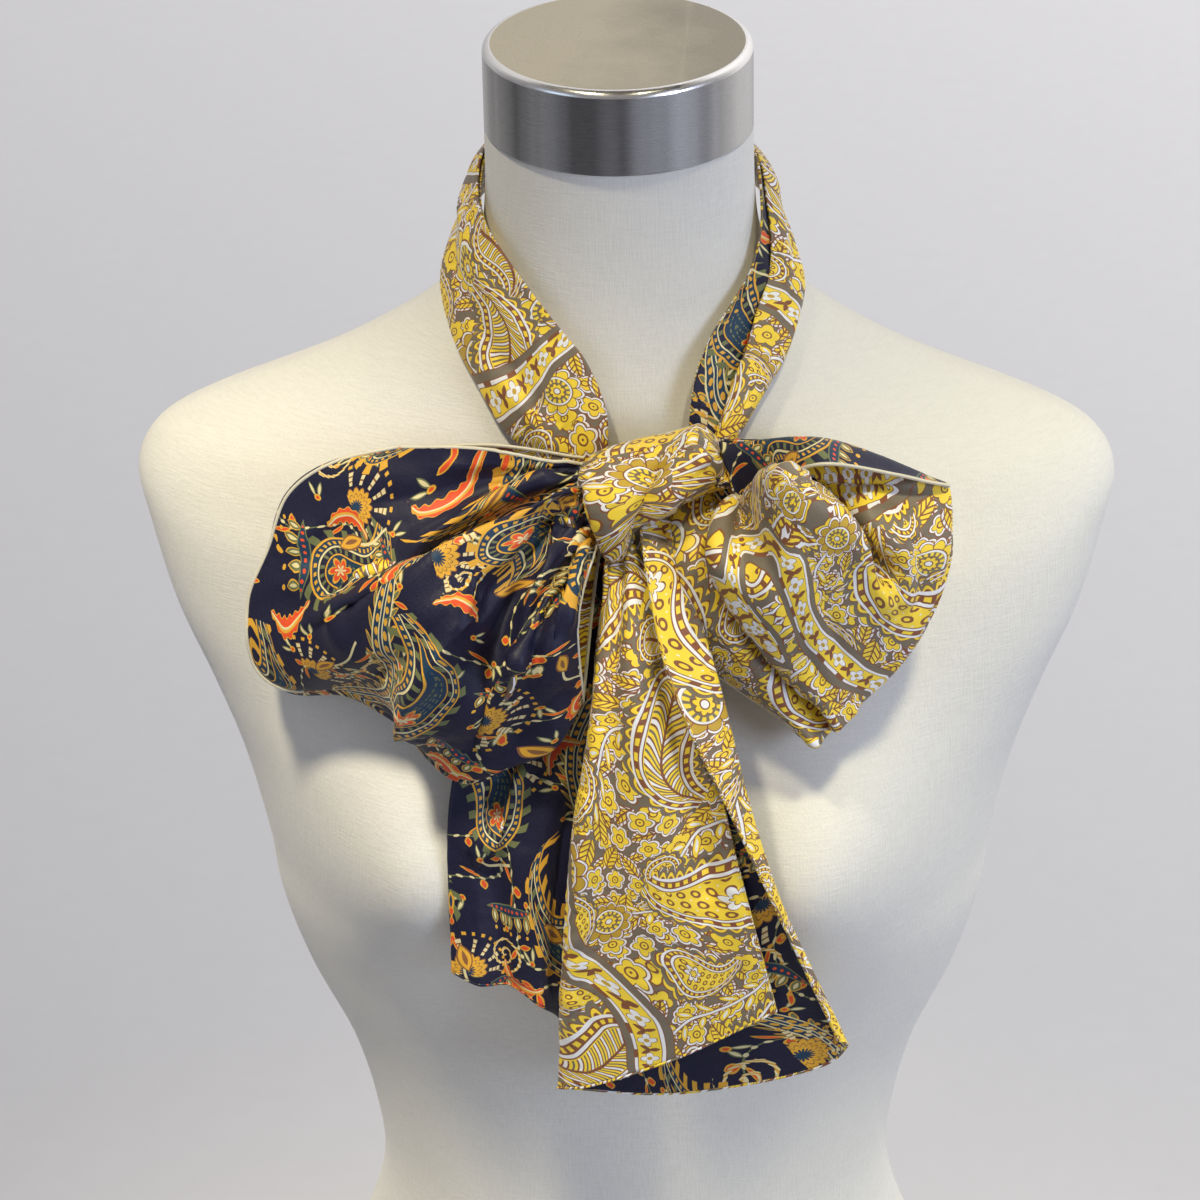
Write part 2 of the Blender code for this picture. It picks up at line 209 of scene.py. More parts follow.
# Creases of each piece: a line, as pairs of a row and a station of its table, how
# far it stands out (a trough is negative) and its width, in millimetres.
LEFT_LOOP_FOLDS = (
    ((5.4, 0.12, 4.7, 0.35, 5, 0.65, 5.8, 0.95, 6.1, 1.3, 6.2, 1.8), 8, 6),
    ((3.2, 0.15, 3, 0.4, 3.6, 0.75, 4.6, 1.05, 5.3, 1.4), -9, 8),
    ((7, 0.1, 8, 0.2, 9.4, 0.35, 10.6, 0.55, 12, 0.95, 13.4, 1.3), -9, 6.5),
    ((6.4, 0.15, 7.6, 0.35, 9, 0.6, 10.4, 0.95, 12, 1.5), 5, 8),
    ((10.2, 0.12, 12, 0.35, 13.4, 0.7, 14.2, 1.3), 5.5, 6),
    ((13.6, 0.3, 14.4, 0.7, 14.6, 1.2), -3.5, 4),
    ((7.4, 0.7, 8.3, 1.05, 9.1, 1.45, 9.8, 1.9), -15, 12),
    ((7.2, 0.7, 7.8, 1.1, 8.1, 1.6), 2.5, 8),
    ((14.6, 1.7, 13.6, 1.7, 12.6, 1.75), 3, 8),
    ((0.5, 0.1, 0.6, 0.6, 0.9, 1.3), -3, 6),
    ((1.2, 0.6, 1.9, 1.2, 3.1, 1.7), 3, 9),
    ((2.3, 1.3, 2.6, 1.6, 3.4, 1.9), -2.5, 6),
    ((3.6, 1.75, 5, 1.5, 7.2, 1.55), -3, 7),
    ((10.6, 0.5, 11.5, 0.9, 11.7, 1.4, 11.4, 1.9), 6, 9),
)
RIGHT_LOOP_FOLDS = (
    ((6.7, 0.2, 6.2, 0.45, 5.8, 0.8, 5.7, 1.1, 5.8, 1.5, 5.9, 1.8), 5.5, 6),
    ((5.2, 0.08, 5.1, 0.3, 4.8, 0.6, 4.7, 0.95, 4.8, 1.4), -11, 8),
    ((3.9, 1, 2.8, 1.2, 1.9, 1.6), 3, 7),
    ((7.5, 0.3, 7.5, 0.8, 7.7, 1.3, 8.3, 1.8), -2.5, 7),
    ((8.8, 0.12, 8.9, 0.5, 9, 1, 9.15, 1.5, 9.45, 1.9), 5.5, 4.5),
    ((10, 0.1, 10, 0.6, 10, 1.1, 10, 1.5, 10.1, 1.9), -4, 4),
    ((10.7, 0.2, 10.6, 0.8, 10.6, 1.5), 2.5, 5),
    ((6.6, 0.9, 6.8, 1.3, 7.1, 1.8), -2.5, 6),
    ((3, 1.3, 4.2, 1.4, 5.4, 1.8), 3, 9),
    ((3.6, 1.5, 4.5, 1.7, 5.2, 1.95), -3, 6),
    ((11.6, 0.2, 11.5, 1, 11.2, 1.7), -2, 4),
)
# Pushes: the row and station of the middle, how far it moves, and how far the
# push reaches in rows and in stations.
LEFT_LOOP_PUSHES = (
    ((6, 0.22), (0, -5, 5), 0.9, 0.16),  # the rolled crest beside the knot
    ((8.2, 0.24), (0, 10, 0), 1, 0.14),  # the pocket under it
    ((1.6, 0.55), (0, 5, -2), 1.4, 0.35),
    ((12.6, 1.1), (0, -4, 0), 1.2, 0.5),
    ((14.2, 0.3), (0, 7, 0), 1.4, 0.35),
)
RIGHT_LOOP_PUSHES = (
    ((0, 0.80), (0, -9, 6), 0.8, 0.40),  # the flap stands over the mouth
    ((0, 0.33), (2, 12, -21), 0.45, 0.24),  # and dips into it beside the knot
    ((3.6, 0.42), (0, 17, -2), 1.4, 0.36),  # the mouth
    ((6.3, 0.66), (-1, -5, 11), 0.8, 0.22),  # the pleat's open end
    ((5.6, 0.28), (0, 9, -9), 1, 0.18),
    ((10.2, 0.36), (0, 9, 2), 0.8, 0.34),  # the hollow between the panels
    ((11.8, 0.2), (0, 4, 0), 0.7, 0.2),
    ((12, 1.2), (-13, 0, -6), 1, 0.55),  # the last panel reaches the tails
    ((12, 0.5), (-5, 0, 0), 0.9, 0.40),
)
LEFT_TAIL_FOLDS = (
    ((3.5, 0.7, 2.4, 1.3, 2.1, 1.8, 1, 2.3), -9, 9),
    ((3.2, 0.9, 2.3, 1.5, 1.2, 1.9), 3, 6),
    ((3.8, 1.6, 3.7, 2.1, 3.6, 2.9), 3, 6),
    ((1.6, 1.7, 1.2, 2.2, 0.7, 2.9), 2.5, 9),
    ((2.6, 2, 2.4, 2.5, 2.3, 2.95), -2, 6),
)
RIGHT_TAIL_FOLDS = (
    ((1.9, 0.2, 1.8, 1.1, 1.9, 1.9, 2.2, 2.9), -3, 7),
    ((1.25, 0.4, 1.1, 1.3, 1.1, 2, 1.3, 2.9), 3.5, 9),
    ((0.6, 0.6, 0.5, 1.5, 0.5, 2.3), -3, 6),
    ((2.5, 0.4, 2.3, 1.3, 2.4, 2.2, 2.5, 2.8), 3, 6),
    ((0.6, 0.9, 0.55, 1.6, 0.6, 2.4), -3.5, 9),
    ((2.3, 1.6, 2.4, 2.2, 2.3, 2.9), 2, 6),
    ((0.2, 1.2, 0.25, 1.9, 0.2, 2.7), 2, 6),
)
NECK_LEFT_FOLDS = (
    ((3, 6.6, 12, 6.3, 22, 6.1, 31, 5.7), 2.2, 5),
    ((9, 7.4, 19, 7.1, 30, 6.7), -1.8, 4),
    ((1, 5.6, 8, 5.9, 14, 5.5), -1.6, 5),
)
NECK_RIGHT_FOLDS = (
    ((2, 6.2, 12, 6.4, 24, 6.3, 33, 6.2), 1.6, 4),
    ((6, 2.2, 16, 1.8, 30, 1.6), -1.6, 5),
    ((10, 1, 20, 0.9, 33, 0.7), 1.6, 4),
)
NECK_WRAP = (
    # upper x, y, z, lower x, y, z, flap
    ((-4, -70, 581), (-16, -70, 563), 1.08),
    ((-5, -68, 602), (-30, -66, 581), 1.08),
    ((-13, -64, 621), (-44, -60, 592), 1.08),
    ((-22, -58, 631), (-55, -48, 606), 1.08),
    ((-33, -52, 644), (-65, -34, 620), 1.08),
    ((-45, -41, 658), (-71, -14, 636), 1.08),
    ((-54, -24, 667), (-67, 0, 649), 1.08),
    ((-57, -6, 675), (-61, 14, 656), 1.08),
    ((-55, 16, 682), (-58, 28, 657), 1.08),
    ((-45, 36, 686), (-49, 44, 657), 0.90),
    ((-25, 51, 688), (-28, 60, 656), 0.85),
    ((0, 56.2, 689), (0, 65, 656), 0.85),
    ((25, 51, 688), (28, 60, 656), 0.85),
    ((45, 36, 686), (49, 44, 657), 0.85),
    ((55, 16, 681), (58, 28, 657), 0.80),
    ((58, -5, 671), (61, 13, 656), 0.75),
    ((58, -19, 660), (68, 0, 646), 0.70),
    ((54, -32, 649), (73, -13, 636), 0.65),
    ((46, -44, 639), (71, -27, 626), 0.60),
    ((39, -52, 630), (66, -41, 615), 0.50),
    ((34, -60, 620), (59, -51, 606), 0.45),
    ((31, -66, 608), (52, -61, 597), 0.40),
    ((30, -70, 595), (44, -71, 586), 0.35),
)
NECK_LEFT_ENDS, NECK_RIGHT_STARTS = 8, 14  # rows of the wrap
BAND_FOLD, BAND_PUFF = 4, 3  # how far its upper layer stands off, at the fold and between
BAND_STEPS = 4  # places worked out for each row of the wrap
BAND_ROW = 18  # the cloth's length in a row, laid flat
# Lines of the band's inner layer, from its upper edge down, and of the layer over
# it, from the fold up, as shares of their widths.
INNER_SHARES = (0, 0.33, 0.66, 0.93)
OUTER_SHARES = (0.07, 0.33, 0.67, 1)

# ---- colours of the print and the rest, linear ----
KHAKI = (0.196, 0.158, 0.104)
YELLOW = (1, 0.72, 0.040)
MUSTARD = (0.58, 0.37, 0.022)
WHITE = (0.90, 0.89, 0.88)
RUST = (0.25, 0.082, 0.026)
NAVY = (0.0065, 0.0065, 0.030)
TEAL = (0.009, 0.040, 0.085)
ORANGE = (0.78, 0.085, 0.018)
AMBER = (0.76, 0.40, 0.035)
CREAM = (0.78, 0.68, 0.36)
OLIVE = (0.16, 0.18, 0.07)
BROWN = (0.26, 0.105, 0.035)
# The first is the painted sheen of threads, the second the shader's sheen tint.
PAINTED_SHEEN, SHEEN = (0.62, 0.58, 0.66), (0.86, 0.84, 1)
JERSEY = (0.83, 0.815, 0.765)
STEEL = (0.60, 0.59, 0.565)
# The cap's top: a painted warm reflection.
STEEL_TOP_REFLECTION = (0.55, 0.48, 0.32)
WALL = (0.606, 0.597, 0.608)
EDGE_LIGHT, EDGE_DARK = (0.80, 0.76, 0.62), (0.62, 0.55, 0.38)
# Depths of the bumps, in metres.
TWILL_DEEP, THREAD_DEEP, SLUB_DEEP = 0.00003, 0.00025, 0.0012
KNIT_DEEP, FUZZ_DEEP, BRUSH_DEEP = 0.0007, 0.0003, 0.00004
# How far the painted sheen of threads lightens the print, the weight of the sheen, the specular
# level.
GOLD_SHINE = (0.07, 0.14, 0.42)
NAVY_SHINE = (0.035, 0.07, 0.30)
EDGE_SHINE = (0.05, 0.10, 0.40)

# ---- layout of the print: a cell's width and height, shift, random key, stray, spin ----
ROSETTES = (37, 43, (31, 20), 2, 7, 3)
SMALL_PAISLEYS = (38, 56, (12, 5), 9, 6, 1.6)
LARGE_PAISLEYS = (62, 92, (10, 34), 1, 8, 0.9)
BUDS = (15, 18, (5, 9), 7, 4, 6)
CURLS = (52, 61, (22, 31), 12, 12, 6)
SUNBURSTS = (74, 86, (50, 66), 4, 14, 6)
DARK_PAISLEYS = (66, 94, (18, 30), 3, 10, 1.2)
ACANTHUS = (46, 55, (8, 24), 21, 12, 6.28)
LEAF_ROWS = (58, 44, (27, 3), 31, 9, 1.5)
TULIPS = (50, 60, (40, 12), 11, 12, 5)


# ---- arithmetic on shader sockets ----
class Number:
    """A value carried by a node's socket, with arithmetic that adds nodes."""

    def __init__(self, net, socket):
        self.net, self.socket = net, socket

    def __abs__(self):
        return calc("ABSOLUTE", self)


def calc(operation, *values):
    """A Math node on values of which one at least is a Number."""
    net = next(value.net for value in values if isinstance(value, Number))
    made = net.node("Math", operation=operation)
    for socket, value in zip(made.inputs, values):
        net.feed(socket, value)
    return Number(net, made.outputs[0])


def arithmetic(operation, swapped=False):
    def made(self, other):
        return calc(operation, *((other, self) if swapped else (self, other)))

    return made


PLAIN = {"truediv": "DIVIDE", "pow": "POWER", "lt": "LESS_THAN", "gt": "GREATER_THAN"}
EITHER_WAY = {"add": "ADD", "sub": "SUBTRACT", "mul": "MULTIPLY"}
for sign, operation in (PLAIN | EITHER_WAY).items():
    setattr(Number, f"__{sign}__", arithmetic(operation))
for sign, operation in EITHER_WAY.items():
    setattr(Number, f"__r{sign}__", arithmetic(operation, swapped=True))

root, sine, cosine, floor, angle = (
    partial(calc, name) for name in ("SQRT", "SINE", "COSINE", "FLOOR", "ARCTAN2")
)


def pick(mask, yes, no):
    return mask * (yes - no) + no


def length(x, y):
    return root(x * x + y * y)


def wrap(value, size):
    """The distance from the nearest whole number of sizes."""
    return calc("WRAP", value, size / 2, -size / 2)


def clamped(value):
    return calc("MINIMUM", calc("MAXIMUM", value, 0), 1)


def either(chance):
    """-1 or 1, as a random number falls."""
    return (chance > 0.5) * 2 - 1


def between(value, low, high):
    return (value > low) * (value < high)


def turned(x, y, turn):
    """The place in axes turned by an angle, which may be a Number."""
    if isinstance(turn, Number):
        c, s = cosine(turn), sine(turn)
    else:
        c, s = math.cos(turn), math.sin(turn)
    return x * c + y * s, y * c - x * s


def waving(x, y, pitch, wave, reach):
    """How far across a place is from the nearest of some waving lines."""
    return wrap(x + sine(y * (math.tau / wave)) * reach, pitch)


class Net:
    """The nodes of one material, with short calls for what its pattern needs."""

    def __init__(self, name, ground=None):
        self.colour = ground
        self.material = bpy.data.materials.new(name)
        self.material.use_nodes = True
        self.tree = self.material.node_tree

    def fill(self, node, values):
        """Names with a capital are the node's inputs, and the others its settings."""
        for name, value in values.items():
            if name[0].islower():
                setattr(node, name, value)
            elif value is not None:
                self.feed(node.inputs[name.replace("_", " ")], value)
        return node

    def node(self, kind, **values):
        return self.fill(self.tree.nodes.new("ShaderNode" + kind), values)

    def finish(self, **values):
        self.fill(self.tree.nodes["Principled BSDF"], values)
        return self.material

    def feed(self, socket, value):
        if isinstance(value, Number):
            value = value.socket
        if isinstance(value, bpy.types.NodeSocket):
            self.tree.links.new(value, socket)
        elif isinstance(value, tuple) and socket.type == "RGBA":
            socket.default_value = (*value, 1)
        else:
            socket.default_value = value

    def split(self, vector, count):
        made = self.node("SeparateXYZ", Vector=vector)
        return [Number(self, made.outputs[k]) for k in range(count)]

    def place(self):
        """x and y in millimetres, from the UV map of cloth places in metres."""
        cloth = self.node("UVMap", uv_map="cloth").outputs[0]
        return [place * 1000 for place in self.split(cloth, 2)]

    def object_place(self):
        """The place on the object in metres, as a vector and as x, y and z."""
        vector = self.node("TexCoord").outputs["Object"]
        return vector, *self.split(vector, 3)

    def vector(self, x, y, z=0):
        return self.node("CombineXYZ", X=x, Y=y, Z=z).outputs[0]

    def channels(self, socket):
        split = self.node("SeparateColor", Color=socket)
        return [Number(self, split.outputs[k]) for k in range(3)]

    def random(self, column, row, key):
        """Three random numbers of a cell."""
        place = self.vector(column, row, key)
        made = self.node("TexWhiteNoise", noise_dimensions="3D", Vector=place)
        return self.channels(made.outputs["Color"])

    def noise(self, vector, scale, detail=2, rough=0.5, output="Fac"):
        made = self.node("TexNoise", Vector=vector, Scale=scale, Detail=detail, Roughness=rough)
        return Number(self, made.outputs[output])

    def wobbled(self, x, y, scale, reach):
        """The place moved by smooth noise, so that drawn lines are uneven."""
        r, g, _ = self.channels(self.noise(self.vector(x, y), scale, 0, output="Color"))
        return x + (r - 0.5) * reach, y + (g - 0.5) * reach

    def cells(self, x, y, wide, tall, shift, key, stray, spin):
        """Half-drop cells: the place from a cell's middle, and its random numbers.

        The middles stray over that many millimetres, and turn over spin radians.
        """
        x, y = x + shift[0], y + shift[1]
        column = floor(x / wide)
        y = y + calc("FLOORED_MODULO", column, 2) * (tall / 2)
        row = floor(y / tall)
        r = self.random(column, row, key)
        near_x = x - (column + 0.5) * wide + (r[0] - 0.5) * stray
        near_y = y - (row + 0.5) * tall + (r[1] - 0.5) * stray
        return *turned(near_x, near_y, (r[2] - 0.5) * spin), r

    def mix(self, base, colour, mask):
        made = self.node("Mix", data_type="RGBA", Factor=mask)
        ends = [socket for socket in made.inputs if socket.type == "RGBA"]
        self.feed(ends[0], base)
        self.feed(ends[1], colour)
        return [socket for socket in made.outputs if socket.type == "RGBA"][0]

    def bands(self, value, colours, starts):
        """Flat colours by value in millimetres, each from its start on."""
        reach = starts[-1] * 1.1 + 0.1
        made = self.node("ValToRGB", Fac=value / reach)
        ramp = made.color_ramp
        ramp.interpolation = "CONSTANT"
        ramp.elements.remove(ramp.elements[1])
        for start, colour in zip(starts, colours):
            point = ramp.elements.new(start / reach) if start else ramp.elements[0]
            point.position = start / reach
            point.color = (*colour, 1)
        return made.outputs[0]

    def ink(self, colour, mask):
        """Prints a colour where the mask is 1."""
        self.colour = self.mix(self.colour, colour, mask)

    def lay(self, inside, *stripes, shown=None):
        """Prints stripes inside an outline.

        inside is how far in a place is, in millimetres. The stripes are the first
        colour, then for each further one where it starts and the colour.
        """
        mask = inside > 0 if shown is None else (inside > 0) * shown
        self.ink(self.bands(inside, stripes[::2], (0, *stripes[1::2])), mask)

    def bump(self, height, distance, strength, normal=None):
        made = self.node(
            "Bump", Height=height, Distance=distance, Strength=strength, Normal=normal
        )
        return made.outputs[0]


# ---- motifs of the print ----
def petals(x, y, radius, count, depth):
    """How far inside a petalled outline a place is, in millimetres."""
    lobes = abs(cosine(angle(y, x) * (count / 2)))
    return lobes * (radius * 2 * depth) + radius * (1 - 2 * depth) - length(x, y)


def leaf(x, y, wide, tall, lobes=0):
    """How far inside a pointed leaf: wide and tall are its half sizes."""
    share = y / tall
    half = wide - wide * share * share
    if lobes:
        half = half + cosine(y * (math.tau / lobes)) * (wide * 0.16)
    return half - abs(x)


def boteh(x, y, bulb, tall, curl):
    """A paisley: how far inside, then places off and along its bent axis."""
    x, y = turned(x, y, length(x, y) * (-curl / tall))
    half = bulb - bulb * clamped(y / tall) ** 1.5
    inside = pick(y > 0, half - abs(x), bulb - length(x, y))
    return inside, x, y


def round_rim(x, y, bulb):
    """The run along a paisley's rim, in millimetres."""
    return pick(y > 0, y, angle(y, abs(x)) * bulb)


def sprigs(net, x, y, key, size, shift):
    """Small flowers and leaves that fill the ground."""
    sx, sy, r = net.cells(x, y, 2.4 * size, 2.7 * size, shift, key, size * 0.5, 6)
    blossom = petals(sx, sy, size * 1.32, 5, 0.14)
    blade = leaf(sx + sy * sy * (0.05 / size), sy, size * 0.86, size * 1.9)
    kind = r[0] > 0.42
    inside = pick(kind, blossom, blade)
    net.lay(inside, RUST, 0.5, WHITE, 1.35, RUST, 1.7, YELLOW)
    net.ink(YELLOW, (r[1] > 0.7) * (inside > 0.5))
    away = length(sx, sy)
    heart = size * 0.42 - away
    net.lay(heart, RUST, 0.6, YELLOW, 1.5, RUST, shown=kind)
    vein = (inside > 0.3) * (abs(wrap(sy - abs(sx), 2.6)) < 0.42)
    vein = calc("MAXIMUM", vein, (abs(sx) < 0.35) * (inside > 0.3))
    net.ink(RUST, vein * (r[0] < 0.42))


def garland(net, x, y, pitch, wave, reach, half):
    """A waving strip between white lines, with flowers and leaves in turn."""
    across = waving(x, y, pitch, wave, reach)
    side = abs(across)
    net.lay(half + 5.2 - side, RUST, 0.4, KHAKI, 3.3, RUST, 3.6, WHITE, 4.9, RUST, 5.2, YELLOW)
    dash = between(across, half + 0.25, half + 1.6) * (sine(y * 0.45) > 0.45)
    net.ink(RUST, dash)
    gap = half * 2.5
    step = wrap(y, gap)
    mid = wrap(y + gap / 2, gap)
    for lean, up in ((0.55, 1.2), (-0.55, -1.2), (0, 0)):
        off = across - half * 0.25 if up else across + half * 0.42
        blade = leaf(mid - up - off * lean, off, 1.15, half * 0.5)
        net.lay(blade, RUST)
    bloom = petals(across, step, half * 0.86, 4, 0.26)
    net.lay(bloom, RUST, 0.3, WHITE)
    net.ink(MUSTARD, length(across, step) < half * 0.24)


def scroll(net, x, y, pitch, wave, reach, line, blades):
    """A waving stem with leaves on both sides."""
    across = waving(x, y, pitch, wave, reach)
    side = abs(across)
    step = wrap(y + (across > 0) * 4.6, 9.2)
    blade = leaf(step - (side - 4) * 0.7, side - 4.2, 2.2, 3.8)
    net.lay(blade, *blades)
    net.lay(1.1 - side, RUST, 0.4, line)


def rosette(net, x, y, radius, shown, dark):
    """A round flower of ringed petals, in a darker yellow where dark is 1."""
    away, turn = length(x, y), angle(y, x)
    lobes = abs(cosine(turn * 5))
    outer = radius * 0.84 + lobes * (radius * 0.2) - away
    net.lay(outer, RUST, 0.5, WHITE, 1.4, RUST, 1.8, YELLOW, shown=shown)
    net.ink(MUSTARD, shown * dark * (outer > 1.8))
    split = (lobes < 0.14) * between(away, radius * 0.62, radius * 0.86)
    net.ink(RUST, split * shown)
    ring = radius * 0.62 - away
    net.lay(ring, RUST, 0.5, WHITE, 1.4, KHAKI, shown=shown)
    dash = between(away, radius * 0.36, radius * 0.5) * (sine(turn * 14) > -0.25)
    net.ink(YELLOW, dash * shown)
    heart = petals(x, y, radius * 0.34, 8, 0.14)
    net.lay(heart, RUST, 0.45, YELLOW, shown=shown)
    eye = radius * 0.15 - away
    net.lay(eye, RUST, 0.5, WHITE, shown=shown)


def paisley(net, x, y, bulb, tall, curl, kind):
    """A curled paisley of nested bands, feathered or flowered by kind, 1 or 0."""
    inside, off, up = boteh(x, y, bulb, tall, curl)
    rim = round_rim(off, up, bulb)
    fringe = inside + abs(sine(rim * 0.62)) * (bulb * 0.19)
    halo = bulb * 0.14
    net.lay(fringe + halo, KHAKI, halo, RUST, halo + 0.5, YELLOW, halo * 1.9, RUST)
    w = bulb / 16
    net.lay(inside, WHITE, 1.3 * w, RUST, 4.2 * w, WHITE, 5.4 * w, RUST, 5.9 * w, YELLOW)
    bead = between(inside, 1.9 * w, 3.6 * w) * (sine(rim * (1.35 / w)) > -0.1)
    net.ink(YELLOW, bead)
    core = inside > 6.3 * w
    side = abs(off)
    barbs = sine((up - side * side * (0.05 / w) + side * 1.1) * (1.15 / w))
    feather = core * kind
    net.ink(RUST, feather * (barbs < -0.1))
    net.ink(WHITE, feather * (barbs < -0.75))
    net.ink(KHAKI, feather * (barbs > 0.9))
    net.ink(RUST, feather * (side < 0.6))
    plain = core * (1 - kind)
    spot = length(wrap(off + 0.8, 5.6 * w), wrap(up, 6.4 * w))
    net.ink(RUST, plain * between(spot, 1 * w, 2 * w))
    net.ink(WHITE, plain * (spot > 3.95 * w))
    bloom = petals(off, up, bulb * 0.42, 6, 0.24)
    shown = 1 - kind
    net.lay(bloom, RUST, 0.5, WHITE, shown=shown)
    eye = petals(off, up, bulb * 0.2, 6, 0.2)
    net.lay(eye, RUST, 0.4, YELLOW, shown=shown)


def silk_finish(net, x, y, lit, sheen, gloss):
    """Twill lines, faint slubs and a painted sheen of lighter threads, as far as lit, on the
    print.
    """
    weave = sine((x + y) * 8)
    slub = net.noise(net.vector(x, y * 3), 0.05, 3, 0.6)
    thread = net.noise(net.vector(x * 0.7, y * 1.4), 1.5, 3, 0.75)
    # Painted sheen: the print lightened where threads would catch the light.
    net.ink(PAINTED_SHEEN, clamped(thread * 2.2 - 0.85) * lit)
    bump = net.bump(weave, TWILL_DEEP, 0.4)
    bump = net.bump(thread, THREAD_DEEP, 0.5, bump)
    bump = net.bump(slub, SLUB_DEEP, 0.35, bump)
    return net.finish(
        Base_Color=net.colour, Roughness=thread * 0.16 + 0.38, Normal=bump,
        Sheen_Weight=sheen, Sheen_Roughness=0.35, Sheen_Tint=SHEEN, Specular_IOR_Level=gloss,
    )


def cream_edge():
    """The plain silk of the hems of the loops."""
    net = Net("silk_edge")
    x, y = net.place()
    thread = net.noise(net.vector(x, y), 1.5, 3, 0.75)
    net.colour = net.mix(EDGE_LIGHT, EDGE_DARK, thread)
    return silk_finish(net, x, y, *EDGE_SHINE)


def gold_silk():
    """The gold face: flowers and two sizes of paisley over sprigs, with a garland."""
    net = Net("silk_gold", KHAKI)
    x, y = net.place()
    gx, gy = net.wobbled(x, y, 0.02, 26)
    gx, gy = net.wobbled(gx, gy, 0.10, 1.5)
    sprigs(net, gx, gy, 5, 3.9, (3, 2))
    sprigs(net, gy, gx, 6, 4.6, (1, 8))

    vx, vy = turned(gx, gy, -0.75)
    scroll(net, vx, vy, 57, 66, 9, WHITE, (RUST, 0.45, YELLOW, 1.5, WHITE))
    cx, cy, r = net.cells(gx, gy, *ROSETTES)
    size = r[0] * 0.35 + 0.82
    rosette(net, cx / size, cy / size, 12.5, r[2] > 0.15, r[1] < 0.4)

    px, py = turned(gx, gy, 1.1)
    px, py, r = net.cells(px, py, *SMALL_PAISLEYS)
    paisley(net, px * either(r[0]), py + 7, 8.5, 30, 1.5, r[1] > 0.6)

    px, py = turned(gx, gy, -0.42)
    px, py, r = net.cells(px, py, *LARGE_PAISLEYS)
    flip, over = either(r[0]), either(r[1])
    paisley(net, px * flip, py * over + 14, 15.5, 56, 1.45, r[2] > 0.45)

    bx, by = turned(gx, gy, 0.35)
    garland(net, bx, by, 96, 190, 14, 4.6)
    return silk_finish(net, x, y, *GOLD_SHINE)


